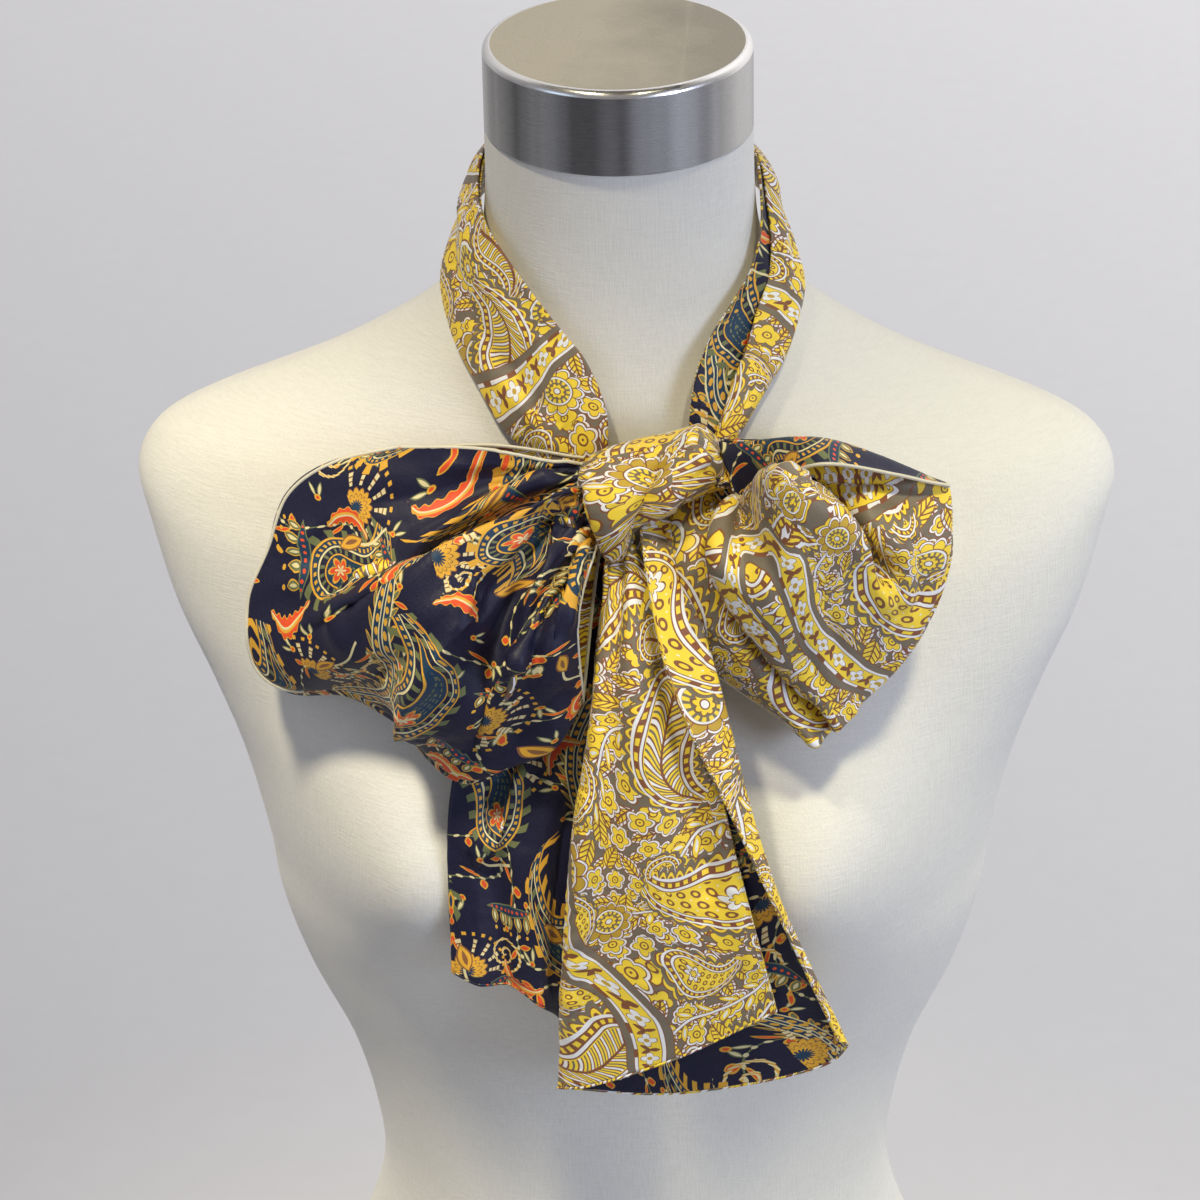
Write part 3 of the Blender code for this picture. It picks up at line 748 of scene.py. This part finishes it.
def navy_silk():
    """The navy face: many small motifs, the later ones over the earlier."""
    net = Net("silk_navy", NAVY)
    x, y = net.place()
    gx, gy = net.wobbled(x, y, 0.018, 30)
    gx, gy = net.wobbled(gx, gy, 0.10, 1.6)

    # blossoms and small leaves
    sx, sy, r = net.cells(gx, gy, *BUDS)
    shown = r[0] > 0.5
    pair = leaf(abs(sx) - 1.7 - sy * 0.35, sy - 0.6, 1.2, 3.4)
    net.lay(pair, OLIVE, 0.5, CREAM, shown=shown)
    bud = 1.5 - length(sx, sy + 3)
    net.lay(bud, AMBER, 0.7, ORANGE, shown=shown)

    # beaded vines
    for pitch, wave, reach, turn in ((67, 58, 12, 0.5), (88, 72, 15, -0.9)):
        vx, vy = turned(gx, gy, turn)
        across = waving(vx, vy, pitch, wave, reach)
        net.ink(OLIVE, abs(across) < 0.4)
        bead = length(across, wrap(vy, 4.2))
        net.ink(CREAM, bead < 1)
        side = abs(across)
        bud = leaf(wrap(vy, 16.8) - side * 0.5, side - 4, 1.5, 3.6)
        net.lay(bud, AMBER, 0.6, ORANGE)

    # curls of beads
    cx, cy, r = net.cells(gx, gy, *CURLS)
    away, turn = length(cx, cy), angle(cy, cx)
    coil = wrap(away - turn * (5.2 / math.tau), 5.2)
    near = (away < 11) * (r[1] > 0.3)
    net.ink(AMBER, near * (abs(coil) < 0.55))
    dots = length(coil, wrap(turn * away, 3.2))
    net.ink(CREAM, near * (dots < 0.85))

    # a spined band with gold spots
    bx, by = turned(gx, gy, -0.2)
    across = wrap(bx + sine(by * (math.tau / 170)) * 24 + 30, 128)
    side = abs(across)
    spine = leaf(wrap(by + side, 6), side - 6.4, 1.6, 3.2)
    net.lay(spine, AMBER, 0.6, OLIVE)
    net.lay(5.6 - side, CREAM, 0.9, TEAL, 4.2, CREAM, 4.9, TEAL)
    spot = length(side - 2.7, wrap(by, 3.6))
    net.ink(AMBER, spot < 1.15)

    # sunbursts
    cx, cy, r = net.cells(gx, gy, *SUNBURSTS)
    away, turn = length(cx, cy), angle(cy, cx)
    half = (cy > -2) * (r[1] > 0.15)
    rays = between(away, 10.5, 17.5) * (sine(turn * 13) > 0.62)
    net.ink(CREAM, half * rays)
    net.ink(BROWN, half * rays * (sine(away * 2.6) > 0.6))
    dots = between(away, 19, 20.6) * (sine(turn * 26) > 0.35)
    net.ink(AMBER, half * dots)
    disc = abs(cosine(turn * 8)) * 1.9 + 7.9 - away
    net.lay(disc, BROWN, 0.6, AMBER, 3, BROWN, 3.5, AMBER, 6, TEAL, shown=half)

    # curled paisleys with a feathered edge
    px, py = turned(gx, gy, 0.55)
    px, py, r = net.cells(px, py, *DARK_PAISLEYS)
    flip, over = either(r[0]), either(r[1])
    inside, off, up = boteh(px * flip, py * over + 14, 13.5, 52, 1.7)
    rim = round_rim(off, up, 13.5)
    plume = sine(rim * 0.85 + inside * 0.3)
    fringe = between(inside, -3.6, 0.2) * (plume > 0.15)
    net.ink(net.mix(OLIVE, AMBER, r[2] > 0.5), fringe)
    net.lay(inside, AMBER, 0.8, TEAL, 3.4, CREAM, 4.1, NAVY, 6.6, AMBER, 7.2, TEAL)
    bead = between(inside, 1.5, 2.8) * (sine(rim * 1.9) > 0.1)
    net.ink(AMBER, bead)
    ray = between(inside, 4.4, 6.3) * (sine(rim * 1.3) > 0.35)
    net.ink(OLIVE, ray)
    scale = (inside > 8) * (abs(wrap(inside, 1.9)) < 0.28) * (sine(rim * 2.4) > -0.3)
    net.ink(OLIVE, scale)
    bloom = petals(off, up, 5.6, 6, 0.26)
    net.lay(bloom, AMBER, 0.9, ORANGE, 3, CREAM)

    # acanthus leaves
    ax, ay, r = net.cells(gx, gy, *ACANTHUS)
    ax, ay = turned(ax, ay, ay * 0.055)
    blade = leaf(ax, ay, 3.7, 15.5, 4.2)
    shown = r[0] > 0.3
    net.lay(blade, AMBER, 0.4, ORANGE, shown=shown)
    net.ink(AMBER, shown * (blade > 0.5) * (abs(ax) < 1.5) * (ax > 0))
    net.ink(CREAM, shown * (blade > 0.8) * (abs(ax) < 0.4))

    # rows of small leaves
    lx, ly, r = net.cells(gx, gy, *LEAF_ROWS)
    shown = r[0] > 0.35
    row = (abs(lx) < 13.5) * shown
    tip = leaf(wrap(lx, 5.4), ly - 2.5, 2, 3.6)
    net.lay(tip, AMBER, 0.45, OLIVE, 1.3, CREAM, shown=row)
    bud = 0.9 - length(wrap(lx, 5.4), ly - 8)
    net.ink(AMBER, row * (bud > 0))
    pod = leaf(ly + 1.6, lx, 2.4, 15.5)
    net.lay(pod, OLIVE, 0.5, TEAL, shown=shown)
    pip = length(wrap(lx, 3), ly + 1.5)
    net.ink(ORANGE, row * (pip < 0.7) * (pod > 0.6))

    # tulips on stems
    tx, ty, r = net.cells(gx, gy, *TULIPS)
    tx, ty = tx / 1.5, ty / 1.5
    stem = (abs(tx + sine(ty * 0.25) * 1.6) < 0.4) * between(ty, -16, -2)
    net.ink(CREAM, stem)
    shown = r[1] > 0.25
    ux, uy = turned(abs(tx), ty + 4, 0.55)
    net.lay(leaf(ux, uy - 5.5, 1.9, 6), AMBER, 0.4, ORANGE, 1.4, CREAM, shown=shown)
    heart = leaf(tx, ty - 0.8, 2.3, 5.2)
    net.lay(heart, BROWN, 0.5, AMBER, 1.6, BROWN, shown=shown)
    return silk_finish(net, x, y, *NAVY_SHINE)


def shaded(colour, *shares):
    """A colour with its channels multiplied, all alike or each by its own share."""
    return tuple(c * share for c, share in zip(colour, shares * (3 // len(shares))))


def jersey():
    """Cotton knit: fine upright and level threads, lint and faint clouds."""
    net = Net("cotton_jersey")
    place, x, y, z = net.object_place()
    upright = net.noise(net.vector(x * 1200, y * 1200, z * 90), 1, 2, 0.6)
    level = net.noise(net.vector(x * 130, y * 130, z * 1300), 1, 2, 0.6)
    grain = (upright + level) * 0.5
    fuzz = net.noise(place, 900, 3, 0.7)
    cloud = net.noise(place, 9, 2)
    shade = net.mix(shaded(JERSEY, 0.84), JERSEY, clamped(grain * 3.2 - 1))
    shade = net.mix(shade, shaded(JERSEY, 0.97, 0.96, 0.93), cloud)
    bump = net.bump(grain, KNIT_DEEP, 0.5)
    bump = net.bump(fuzz, FUZZ_DEEP, 0.4, bump)
    return net.finish(
        Base_Color=shade, Roughness=0.92, Normal=bump, Sheen_Weight=0.12, Sheen_Roughness=0.6
    )


def brushed_steel():
    """Turned steel: fine lines round it, soft upright streaks of painted reflection, a top of
    painted warm reflection with painted shade to the right, and a smoother edge with a painted
    highlight.
    """
    net = Net("brushed_steel")
    place, x, y, z = net.object_place()
    away, turn = length(x, y), angle(y, x)
    side = net.noise(net.vector(z * 2600, turn * 3), 1, 3, 0.7)
    top = net.noise(net.vector(away * 2600, turn * 2), 1, 3, 0.7)
    flat = away < (CAP_RADIUS - CAP_ROUND) * MM
    lines = pick(flat, top, side)
    round_x, round_y = (v * (1000 / CAP_RADIUS) for v in (x, y))
    # Painted reflection: soft upright streaks of dark and light steel, lighter towards the right.
    reflection_streak = net.noise(net.vector(round_x, round_y), 2.4, 2, 0.6)
    reflection_streak = clamped((reflection_streak - 0.38) * 4) + clamped(round_x * 1.2 - 0.25) * 0.7
    tone = net.mix(shaded(STEEL, 0.26), STEEL, clamped(reflection_streak))
    # The top: a painted warm reflection, darker to the right as painted shade, mottled by cloud.
    cloud = net.noise(place, 26, 3, 0.6)
    mottle_and_shade = clamped(round_x * 1 + cloud * 1.6 - 0.5)
    top_reflection = net.mix(STEEL_TOP_REFLECTION, shaded(STEEL_TOP_REFLECTION, 0.60), mottle_and_shade)
    tone = net.mix(tone, top_reflection, flat)
    shade = net.mix(tone, STEEL, lines * 0.22)
    bump = net.bump(lines, BRUSH_DEEP, 0.35)
    # The edge: a painted highlight in brighter steel, and smoother.
    edge = (away > (CAP_RADIUS - CAP_ROUND) * MM) * (z > (NECK_TOP + CAP_HEIGHT - CAP_EDGE) * MM)
    shade = net.mix(shade, shaded(STEEL, 1.45), edge)
    rough = pick(edge, 0.25, lines * 0.12 + 0.22)
    return net.finish(
        Base_Color=shade, Roughness=rough, Normal=bump, Metallic=1, Anisotropic=0.6
    )


def plaster():
    """A pale matt room: its floor and wall glow a little behind the form, a painted light brighter
    upwards, further back and to the right.
    """
    net = Net("pale_sweep")
    place, x, y, z = net.object_place()
    grain = net.noise(place, 60, 1)
    behind = clamped(y / (x * x * 0.12 + 0.2))
    shade = net.mix(WALL, shaded(WALL, 0.96), grain)
    side = clamped(x * 0.25 + 0.5) - 0.5
    rise = clamped(y * 0.46) * 0.49 + z * 0.148
    glow = behind * (side * WALL_LEAN + rise * WALL_RISE + WALL_GLOW)
    # The lamps light it less where it glows.
    dim = net.mix(WALL, shaded(WALL, 0.30), behind)
    look = net.finish(
        Base_Color=dim, Roughness=0.9, Emission_Color=shade, Emission_Strength=glow
    )
    look.cycles.emission_sampling = "NONE"
    return look


# ---- shape tools ----
def spline(rows, places):
    """Catmull-Rom values at places counted in rows."""
    rows, places = np.asarray(rows, float), np.asarray(places, float)
    last = len(rows) - 1
    row = np.clip(places.astype(int), 0, last - 1)
    t = (places - row).reshape(-1, *[1] * (rows.ndim - 1))
    a, b, c, d = (rows[np.clip(row + k, 0, last)] for k in (-1, 0, 1, 2))
    return b + 0.5 * t * (c - a + t * (2 * a - 5 * b + 4 * c - d + t * (3 * (b - c) + d - a)))


def resampled(table, rows, columns):
    """A table's values at rows and columns that needn't be whole numbers."""
    return spline(spline(table, rows).swapaxes(0, 1), columns).swapaxes(0, 1)


def dense(table, size):
    """A fine grid through a coarse grid of points."""
    return resampled(table, *(np.linspace(0, n - 1, m) for n, m in zip(table.shape, size)))


def around(count):
    """Angles once round, with the last on the first."""
    return np.linspace(0, math.tau, count)


def lattice(rows, columns):
    """The pairs of a row and a column, as a grid of places."""
    return np.stack(np.meshgrid(rows, columns, indexing="ij"), 2)


def squared(wave, power):
    """A sine or cosine reshaped, so that its oval is squarer or rounder."""
    return np.sign(wave) * abs(wave) ** power


def table_places(grid, rows, stations):
    """Where each row and column of a fine grid lies in its table."""
    tall, wide = grid.shape[:2]
    return np.linspace(0, rows - 1, tall)[:, None], np.linspace(0, stations - 1, wide)[None, :]


def normals_of(grid):
    along = np.gradient(grid, axis=1)
    across = np.gradient(grid, axis=0)
    out = np.cross(across, along)
    return out / np.maximum(norm(out, axis=2, keepdims=True), 1e-9)


def creased(grid, folds, rows, stations):
    """Soft ridges and troughs along lines given in rows and stations of the table."""
    up = normals_of(grid)
    moved = grid.copy()
    tall, wide = grid.shape[:2]
    u, v = table_places(grid, rows, stations)
    for line, height, width in folds:
        line = np.reshape(line, (-1, 2))
        line = spline(line, np.linspace(0, len(line) - 1, FOLD_STEPS))
        at_u = np.clip(line[:, 0] / (rows - 1) * (tall - 1), 0, tall - 1).astype(int)
        at_v = np.clip(line[:, 1] / (stations - 1) * (wide - 1), 0, wide - 1).astype(int)
        gaps = norm(grid[:, :, None, :] - grid[at_u, at_v][None, None], axis=3)
        near = gaps.argmin(axis=2)
        taper = np.clip(np.sin(math.pi * near / (FOLD_STEPS - 1)) * FOLD_FADE, 0, 1)
        off_u, off_v = (u - line[near, 0]) / FOLD_ROWS, (v - line[near, 1]) / FOLD_STATIONS
        same = np.exp(-(off_u**2 + off_v**2))
        away = gaps.min(axis=2) / width
        crest = np.exp(CREST - np.sqrt(away * away * CREST_STEEP + CREST * CREST))
        moved += up * (height * crest * taper * same)[:, :, None]
    return moved


def pushed(grid, pushes, rows, stations):
    """Local moves of a grid round places given in rows and stations of the table."""
    u, v = table_places(grid, rows, stations)
    moved = grid.copy()
    for (row, station), move, row_reach, station_reach in pushes:
        share = np.exp(-(((u - row) / row_reach) ** 2) - ((v - station) / station_reach) ** 2)
        moved += share[:, :, None] * np.array(move, float)
    return moved


def gathered(grid, depth, reach, pleats, seed, both_ends=False):
    """Uneven pleats that fan out from the knot, deepest a little way from it."""
    chance = np.random.default_rng(seed)
    tall, wide = grid.shape[:2]
    u = np.linspace(0, 1, tall)[:, None]
    run = norm(np.diff(grid, axis=1), axis=2).mean(axis=0)
    along = np.concatenate([[0], np.cumsum(run)])[None, :]
    from_knot = np.minimum(along, along[:, -1:] - along) if both_ends else along
    wave = np.zeros((tall, wide))
    for _ in range(WAVES):
        count, phase, lean = chance.uniform(0.5, 1.2) * pleats, *chance.uniform(0, 6.3, 2)
        wave += np.sin(math.tau * count * u + phase + math.sin(lean) * along / reach)
    fade = np.clip(from_knot / WAVE_START, 0, 1) * (np.exp(-from_knot / reach) + WAVE_REST)
    return grid + normals_of(grid) * (wave / WAVE_SCALE * depth * fade)[:, :, None]


def running(net, axis):
    """Lengths along the lines of a net of points, from its first edge."""
    steps = norm(np.diff(net, axis=axis), axis=2)
    return np.insert(np.cumsum(steps, axis=axis), 0, 0, axis=axis)


def flattened(grid, coarse=4, rounds=500, pull=0.11):
    """Lays a grid flat with its edges near their real lengths: its cloth places, in mm."""
    takes = [np.unique(np.r_[0:count:coarse, count - 1]) for count in grid.shape[:2]]
    net = grid[np.ix_(*takes)]
    along, across = running(net, 1), running(net, 0)
    across -= across[len(net) // 2]
    flat = np.stack([across, np.broadcast_to(along.mean(axis=0), across.shape)], axis=2)
    pairs = (
        (np.s_[:-1, :], np.s_[1:, :]),
        (np.s_[:, :-1], np.s_[:, 1:]),
        (np.s_[:-1, :-1], np.s_[1:, 1:]),
        (np.s_[:-1, 1:], np.s_[1:, :-1]),
    )
    wanted = [norm(net[a] - net[b], axis=2) for a, b in pairs]
    for _ in range(rounds):
        push = np.zeros_like(flat)
        for (a, b), length in zip(pairs, wanted):
            gap = flat[b] - flat[a]
            now = np.maximum(norm(gap, axis=2), 1e-6)
            step = gap * ((now - length) / now)[:, :, None] * pull
            push[a] += step
            push[b] -= step
        flat += push
    places = (
        np.interp(np.arange(count), take, np.arange(len(take)))
        for count, take in zip(grid.shape, takes)
    )
    return resampled(flat, *places)


def put(name, data):
    """A new object in the scene."""
    made = bpy.data.objects.new(name, data)
    bpy.context.scene.collection.objects.link(made)
    return made


def thicken(piece, rim):
    """A cloth's thickness. The next material is behind it, and rim says which is on its edges."""
    thick = piece.modifiers.new("cloth", "SOLIDIFY")
    thick.thickness = CLOTH * MM
    thick.offset = 0
    thick.material_offset = 1
    thick.material_offset_rim = rim


def mesh_from_grid(name, grid, places, looks):
    """A mesh through a grid of points in mm, with a UV map of cloth places."""
    tall, wide = grid.shape[:2]
    index = np.arange(tall * wide).reshape(tall, wide)
    corners = [index[:-1, :-1], index[1:, :-1], index[1:, 1:], index[:-1, 1:]]
    faces = np.stack(corners, axis=2).reshape(-1, 4)
    mesh = bpy.data.meshes.new(name)
    mesh.from_pydata((grid.reshape(-1, 3) * MM).tolist(), [], faces.tolist())
    uv = mesh.uv_layers.new(name="cloth")
    ends = np.empty(len(mesh.loops), np.int32)
    mesh.loops.foreach_get("vertex_index", ends)
    uv.data.foreach_set("uv", (places.reshape(-1, 2) * MM)[ends].astype(np.float32).ravel())
    for look in looks:
        mesh.materials.append(look)
    mesh.shade_smooth()
    return put(name, mesh)


def tube(points, radius, sides=8):
    """Rings round a line of points."""
    points = np.asarray(points, float)
    ahead = np.gradient(points, axis=0)
    ahead /= np.maximum(norm(ahead, axis=1, keepdims=True), 1e-9)
    side = np.cross(ahead, (0.3, 0.5, 0.8))
    side /= norm(side, axis=1, keepdims=True)
    other = np.cross(ahead, side)
    turns = around(sides + 1)
    return (
        points[:, None]
        + side[:, None] * (radius * np.cos(turns))[None, :, None]
        + other[:, None] * (radius * np.sin(turns))[None, :, None]
    )


def hem(name, edge, places, look):
    """The rolled edge along a selvedge."""
    rings = tube(edge, HEM)
    turn = np.linspace(0, HEM_GIRTH, rings.shape[1])
    flat = np.stack(
        [places[:, None, 0] + turn[None], np.broadcast_to(places[:, None, 1], rings.shape[:2])],
        axis=2,
    )
    return mesh_from_grid(name, rings, flat, [look])


# ---- pieces ----
def loop_table(rows):
    """A loop from its front fold lines, round its outer fold and back to the knot."""
    table = []
    for *front, roll, rear_mid, rear_root in rows:
        root, rim = np.array(front[0], float), np.array(front[-1], float)
        away = (rim - root) / norm(rim - root)
        sunk = np.array((0, roll, -ROLL_SINK * roll))
        turn = rim + away * ROLL_OUT * roll + sunk / 2
        halfway = (root + rim) / 2
        behind_mid = (halfway[0], rear_mid, halfway[2])
        behind_root = (root[0], rear_root, root[2] - REAR_ROOT_SINK)
        table.append((*front, turn, rim + sunk, behind_mid, behind_root))
    return np.array(table, float)


def band_table(start, end):
    """A stretch of the band round the neck: an inner layer, folded up over itself."""
    uppers, lowers, flaps = (np.array(c, float) for c in zip(*NECK_WRAP))
    last = len(NECK_WRAP) - 1
    table = []
    for place in np.linspace(start, end, (end - start) * BAND_STEPS + 1):
        upper, lower = (spline(c, [place])[0] for c in (uppers, lowers))
        flap = spline(flaps, [place])[0]
        width = lower - upper
        fore, aft = (spline(uppers, [np.clip(place + s, 0, last)])[0] for s in (0.5, -0.5))
        out = np.cross(fore - aft, width)
        out /= norm(out)
        line = [upper + width * share for share in INNER_SHARES]
        line.append(lower + (out * 2 + width / norm(width)) * BAND_FOLD / 4)
        for share in OUTER_SHARES:
            stand = BAND_FOLD * (1 - 0.7 * share * share) + BAND_PUFF * math.sin(math.pi * share)
            line.append(lower - width * flap * share + out * stand)
        table.append(line)
    return np.array(table)


def outer_turn(grid, places):
    """The piped line along a loop's outer fold, down to its far corner."""
    rows = int(len(grid) * EDGE_SHARE)
    columns = np.linspace(*EDGE_AT, rows) * grid.shape[1]
    low, row = columns.astype(int), np.arange(rows)
    line = grid[row, low] + (grid[row, low + 1] - grid[row, low]) * (columns - low)[:, None]
    outward = line - grid[:rows, 0]
    outward /= norm(outward, axis=1)[:, None]
    return line + outward * EDGE_STAND, places[row, low]


def dress_sheet(
    name, node, table, size, looks, pushes=(), folds=(), gathers=None, shift=(0, 0), hems=(),
    hem_look=None, **facts,
):
    """A piece of the scarf: its mesh, thickness and hems; what the frame needs, given as facts, is
    not used.
    """
    grid = pushed(dense(table, size), pushes, *table.shape[:2])
    grid = creased(grid, folds, *table.shape[:2])
    if gathers:
        grid = gathered(grid, **gathers)
    places = flattened(grid) + np.array(shift, float)
    piece = mesh_from_grid(name, grid, places, looks)
    thicken(piece, rim=2)
    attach(piece, "root")
    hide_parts(node)
    edges = {
        "first": (grid[0], places[0]),
        "last": (grid[-1], places[-1]),
        "end": (grid[:, -1], places[:, -1]),
    }
    if "turn" in hems:
        edges["turn"] = outer_turn(grid, places)
    for which in hems:
        trim = hem(f"{name}_hem_{which}", *edges[which], hem_look)
        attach(trim, "root")


def build_scarf():
    gold, navy, cream = gold_silk(), navy_silk(), cream_edge()
    looks, on_form = (gold, navy, gold), ["silk_knot", "dress_form"]
    dress_sheet(
        "silk_loop_left", "scarf_loop_left", loop_table(LEFT_LOOP), (121, 113), looks,
        pushes=LEFT_LOOP_PUSHES, folds=LEFT_LOOP_FOLDS,
        gathers=dict(depth=1.5, reach=45, pleats=11, seed=4, both_ends=True),
        hems=("first", "last", "turn"), hem_look=cream,
        flat=(STRIP, 0.26), held="gathered", rests_on=on_form,
    )
    dress_sheet(
        "silk_loop_right", "scarf_loop_right", loop_table(RIGHT_LOOP), (121, 113), looks,
        pushes=RIGHT_LOOP_PUSHES, folds=RIGHT_LOOP_FOLDS,
        gathers=dict(depth=1.3, reach=40, pleats=10, seed=9, both_ends=True),
        hems=("first", "last"), hem_look=cream, shift=(30, 60),
        flat=(0.17, 0.24), held="gathered", rests_on=on_form,
    )
    dress_sheet(
        "silk_tail_left", "scarf_tail_left", np.array(LEFT_TAIL, float), (81, 97), looks,
        folds=LEFT_TAIL_FOLDS, gathers=dict(depth=1.3, reach=50, pleats=5, seed=2),
        hems=("first", "last", "end"), hem_look=navy, shift=(10, 300),
        flat=(0.07, 0.195), held="hung", rests_on=on_form,
    )
    dress_sheet(
        "silk_tail_right", "scarf_tail_right", np.array(RIGHT_TAIL, float), (141, 97), looks,
        folds=RIGHT_TAIL_FOLDS, gathers=dict(depth=1.4, reach=60, pleats=9, seed=7),
        hems=("first", "last", "end"), hem_look=gold, shift=(0, 200),
        flat=(STRIP, 0.22), held="folded", rests_on=on_form,
    )
    for side, start, end, length, folds in (
        ("left", 0, NECK_LEFT_ENDS, 0.17, NECK_LEFT_FOLDS),
        ("back", NECK_LEFT_ENDS, NECK_RIGHT_STARTS, 0.165, ()),
        ("right", NECK_RIGHT_STARTS, len(NECK_WRAP) - 1, 0.12, NECK_RIGHT_FOLDS),
    ):
        table = band_table(start, end)
        dress_sheet(
            f"silk_neck_{side}", f"scarf_neck_{side}", table, (len(table) * 5, 57),
            (navy, gold, gold), folds=folds, shift=(0, start * BAND_ROW),
            flat=(0.07, length), held="folded", rests_on=["dress_form"],
        )
    build_knot(gold, navy)


def knot_places(last, count):
    """Places along the knot in rings, closer together over the round ends."""
    ends = KNOT_TUCK * np.sin(np.linspace(0, math.pi / 2, count // 6))
    middle = np.linspace(0, last, count - 2 * (len(ends) - 1))
    return np.concatenate([-ends[:0:-1], middle, last + ends[1:]])


def build_knot(gold, navy):
    """The rounded knot: squarish rings along it, drawn in at both ends."""
    turns = around(KNOT_SIZE[1])
    up, into = (squared(wave, KNOT_SQUARE) for wave in (np.cos(turns), np.sin(turns)))
    rings = []
    last = len(KNOT_RINGS) - 1
    for place in knot_places(last, KNOT_SIZE[0]):
        inner = min(max(place, 0), last)
        top_x, top_z, foot_x, foot_z, front, back = spline(KNOT_RINGS, [inner])[0]
        past = (place - inner) / KNOT_TUCK
        round_off = math.sqrt(1 - KNOT_CLOSE * past * past)
        middle = np.array((top_x + foot_x, front + back, top_z + foot_z)) / 2
        rise = np.array((top_x - foot_x, 0, top_z - foot_z)) / 2
        deep = np.array((0, back - front, 0)) / 2
        ring = middle + (rise * up[:, None] + deep * into[:, None]) * round_off
        rings.append(ring + (past * KNOT_BULGE, 0, 0))
    grid = creased(np.array(rings), KNOT_FOLDS, len(KNOT_RINGS), 9)
    places = lattice(*(np.linspace(0, flat, n) for flat, n in zip(KNOT_FLAT, KNOT_SIZE)))
    piece = mesh_from_grid("silk_knot", grid, places, (gold, navy, gold))
    thicken(piece, rim=0)
    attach(piece, "root")
    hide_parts("scarf_knot")


def build_form():
    """The limbless form: rounded sections from the neck down, and a bust."""
    places = np.linspace(0, len(FORM_SECTIONS) - 1, FORM_SIZE[0])
    down, half, front, back, power = spline(FORM_SECTIONS, places).T
    turns = around(FORM_SIZE[1])
    c, s = np.cos(turns)[None], np.sin(turns)[None]
    x = half[:, None] * squared(c, 2 / power[:, None])
    y = np.where(s > 0, back[:, None], front[:, None]) * squared(s, 2 / power[:, None])
    across = (abs(x) - BUST_APART) / BUST_WIDE
    along = (down[:, None] - BUST_DOWN) / BUST_TALL
    facing = np.sqrt(np.clip(-s, 0, None))
    y = y - BUST_OUT * facing * np.exp(-across * across - along * along)
    z = np.broadcast_to(NECK_TOP - down[:, None], x.shape)
    grid = np.stack([x, y, z], axis=2)
    top, foot = (np.broadcast_to(grid[k, :-1].mean(axis=0), grid[0].shape) for k in (0, -1))
    grid = np.concatenate([top[None], grid, foot[None]])
    places = lattice(*(np.arange(n) for n in grid.shape[:2]))
    piece = mesh_from_grid("dress_form", grid[::-1], places[::-1], [jersey()])
    weld = piece.modifiers.new("closed", "WELD")
    weld.merge_threshold = MERGE
    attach(piece, "root")
    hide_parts("form_torso")


def build_cap():
    """The steel disc, turned from its outline."""
    bottom, top = NECK_TOP + CAP_SEAT, NECK_TOP + CAP_SEAT + CAP_HEIGHT
    corner = [
        (CAP_RADIUS - CAP_ROUND * (1 - math.cos(a)), top - CAP_ROUND * (1 - math.sin(a)))
        for a in np.linspace(math.pi / 2, 0, CAP_ARC)
    ]
    foot = [(CAP_RADIUS, bottom + CAP_FOOT_ROUND), (CAP_RADIUS - CAP_FOOT_ROUND, bottom)]
    outline = [(0, top), *corner, *foot, (0, bottom)]
    mesh = bpy.data.meshes.new("neck_cap")
    points = [(x * MM, 0, z * MM) for x, z in outline]
    mesh.from_pydata(points, [(k, k + 1) for k in range(len(points) - 1)], [])
    piece = put("neck_cap", mesh)
    mesh.materials.append(brushed_steel())
    screw = piece.modifiers.new("turned", "SCREW")
    screw.steps = screw.render_steps = CAP_TURNS
    screw.use_merge_vertices = True
    screw.merge_threshold = MERGE
    screw.use_normal_flip = True
    piece.modifiers.new("edges", "WEIGHTED_NORMAL")
    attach(piece, "root")
    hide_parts("form_neck_cap")


# ---- stage, lights and camera ----
def build_stage():
    """A round floor that curves up into the wall of a wide room."""
    outline = [(radius, 0) for radius in ROOM_FLOOR]
    for a in np.linspace(0, math.pi / 2, ROOM_ARC)[1:]:
        out, up = ROOM_CURVE * math.sin(a), ROOM_CURVE * (1 - math.cos(a))
        outline.append((ROOM_FLOOR[-1] + out, up))
    outline.append((ROOM_FLOOR[-1] + ROOM_CURVE, ROOM_TOP))
    turns = around(ROOM_TURNS)
    points = np.array(
        [[(r * math.cos(a), r * math.sin(a), z) for a in turns] for r, z in outline]
    )
    room = mesh_from_grid("sweep", points / MM, points[..., :2], [plaster()])


def build_lights():
    for name, kind, at, aim, size, power, colour in LAMPS:
        light = bpy.data.lights.new(name, kind)
        light.energy, light.color = power, colour
        if kind == "SPOT":
            light.shadow_soft_size, light.spot_size, light.spot_blend = size, SPOT_CONE, SPOT_BLEND
        else:
            light.shape, light.size = "DISK", size
        piece = put(name, light)
        piece.location = at
        piece.rotation_euler = (Vector(aim) - Vector(at)).to_track_quat("-Z", "Y").to_euler()
    world = bpy.data.worlds.new("studio")
    world.use_nodes = True
    sky = world.node_tree.nodes["Background"].inputs
    sky["Color"].default_value, sky["Strength"].default_value = (*SKY, 1), SKY_POWER
    bpy.context.scene.world = world


def build_camera():
    lens = bpy.data.cameras.new("view")
    lens.lens, lens.sensor_width, lens.clip_end = CAMERA_LENS, CAMERA_SENSOR, CAMERA_REACH
    camera = put("view", lens)
    place = Matrix.Translation(CAMERA_AT)
    for angle, axis in ((CAMERA_YAW, "Z"), (90 - CAMERA_DOWN, "X"), (-CAMERA_ROLL, "Z")):
        place = place @ Matrix.Rotation(math.radians(angle), 4, axis)
    camera.matrix_world = place
    bpy.context.scene.camera = camera


build_camera()
build_lights()
build_stage()
build_form()
build_cap()
build_scarf()
bpy.context.scene.view_settings.view_transform = "Standard"
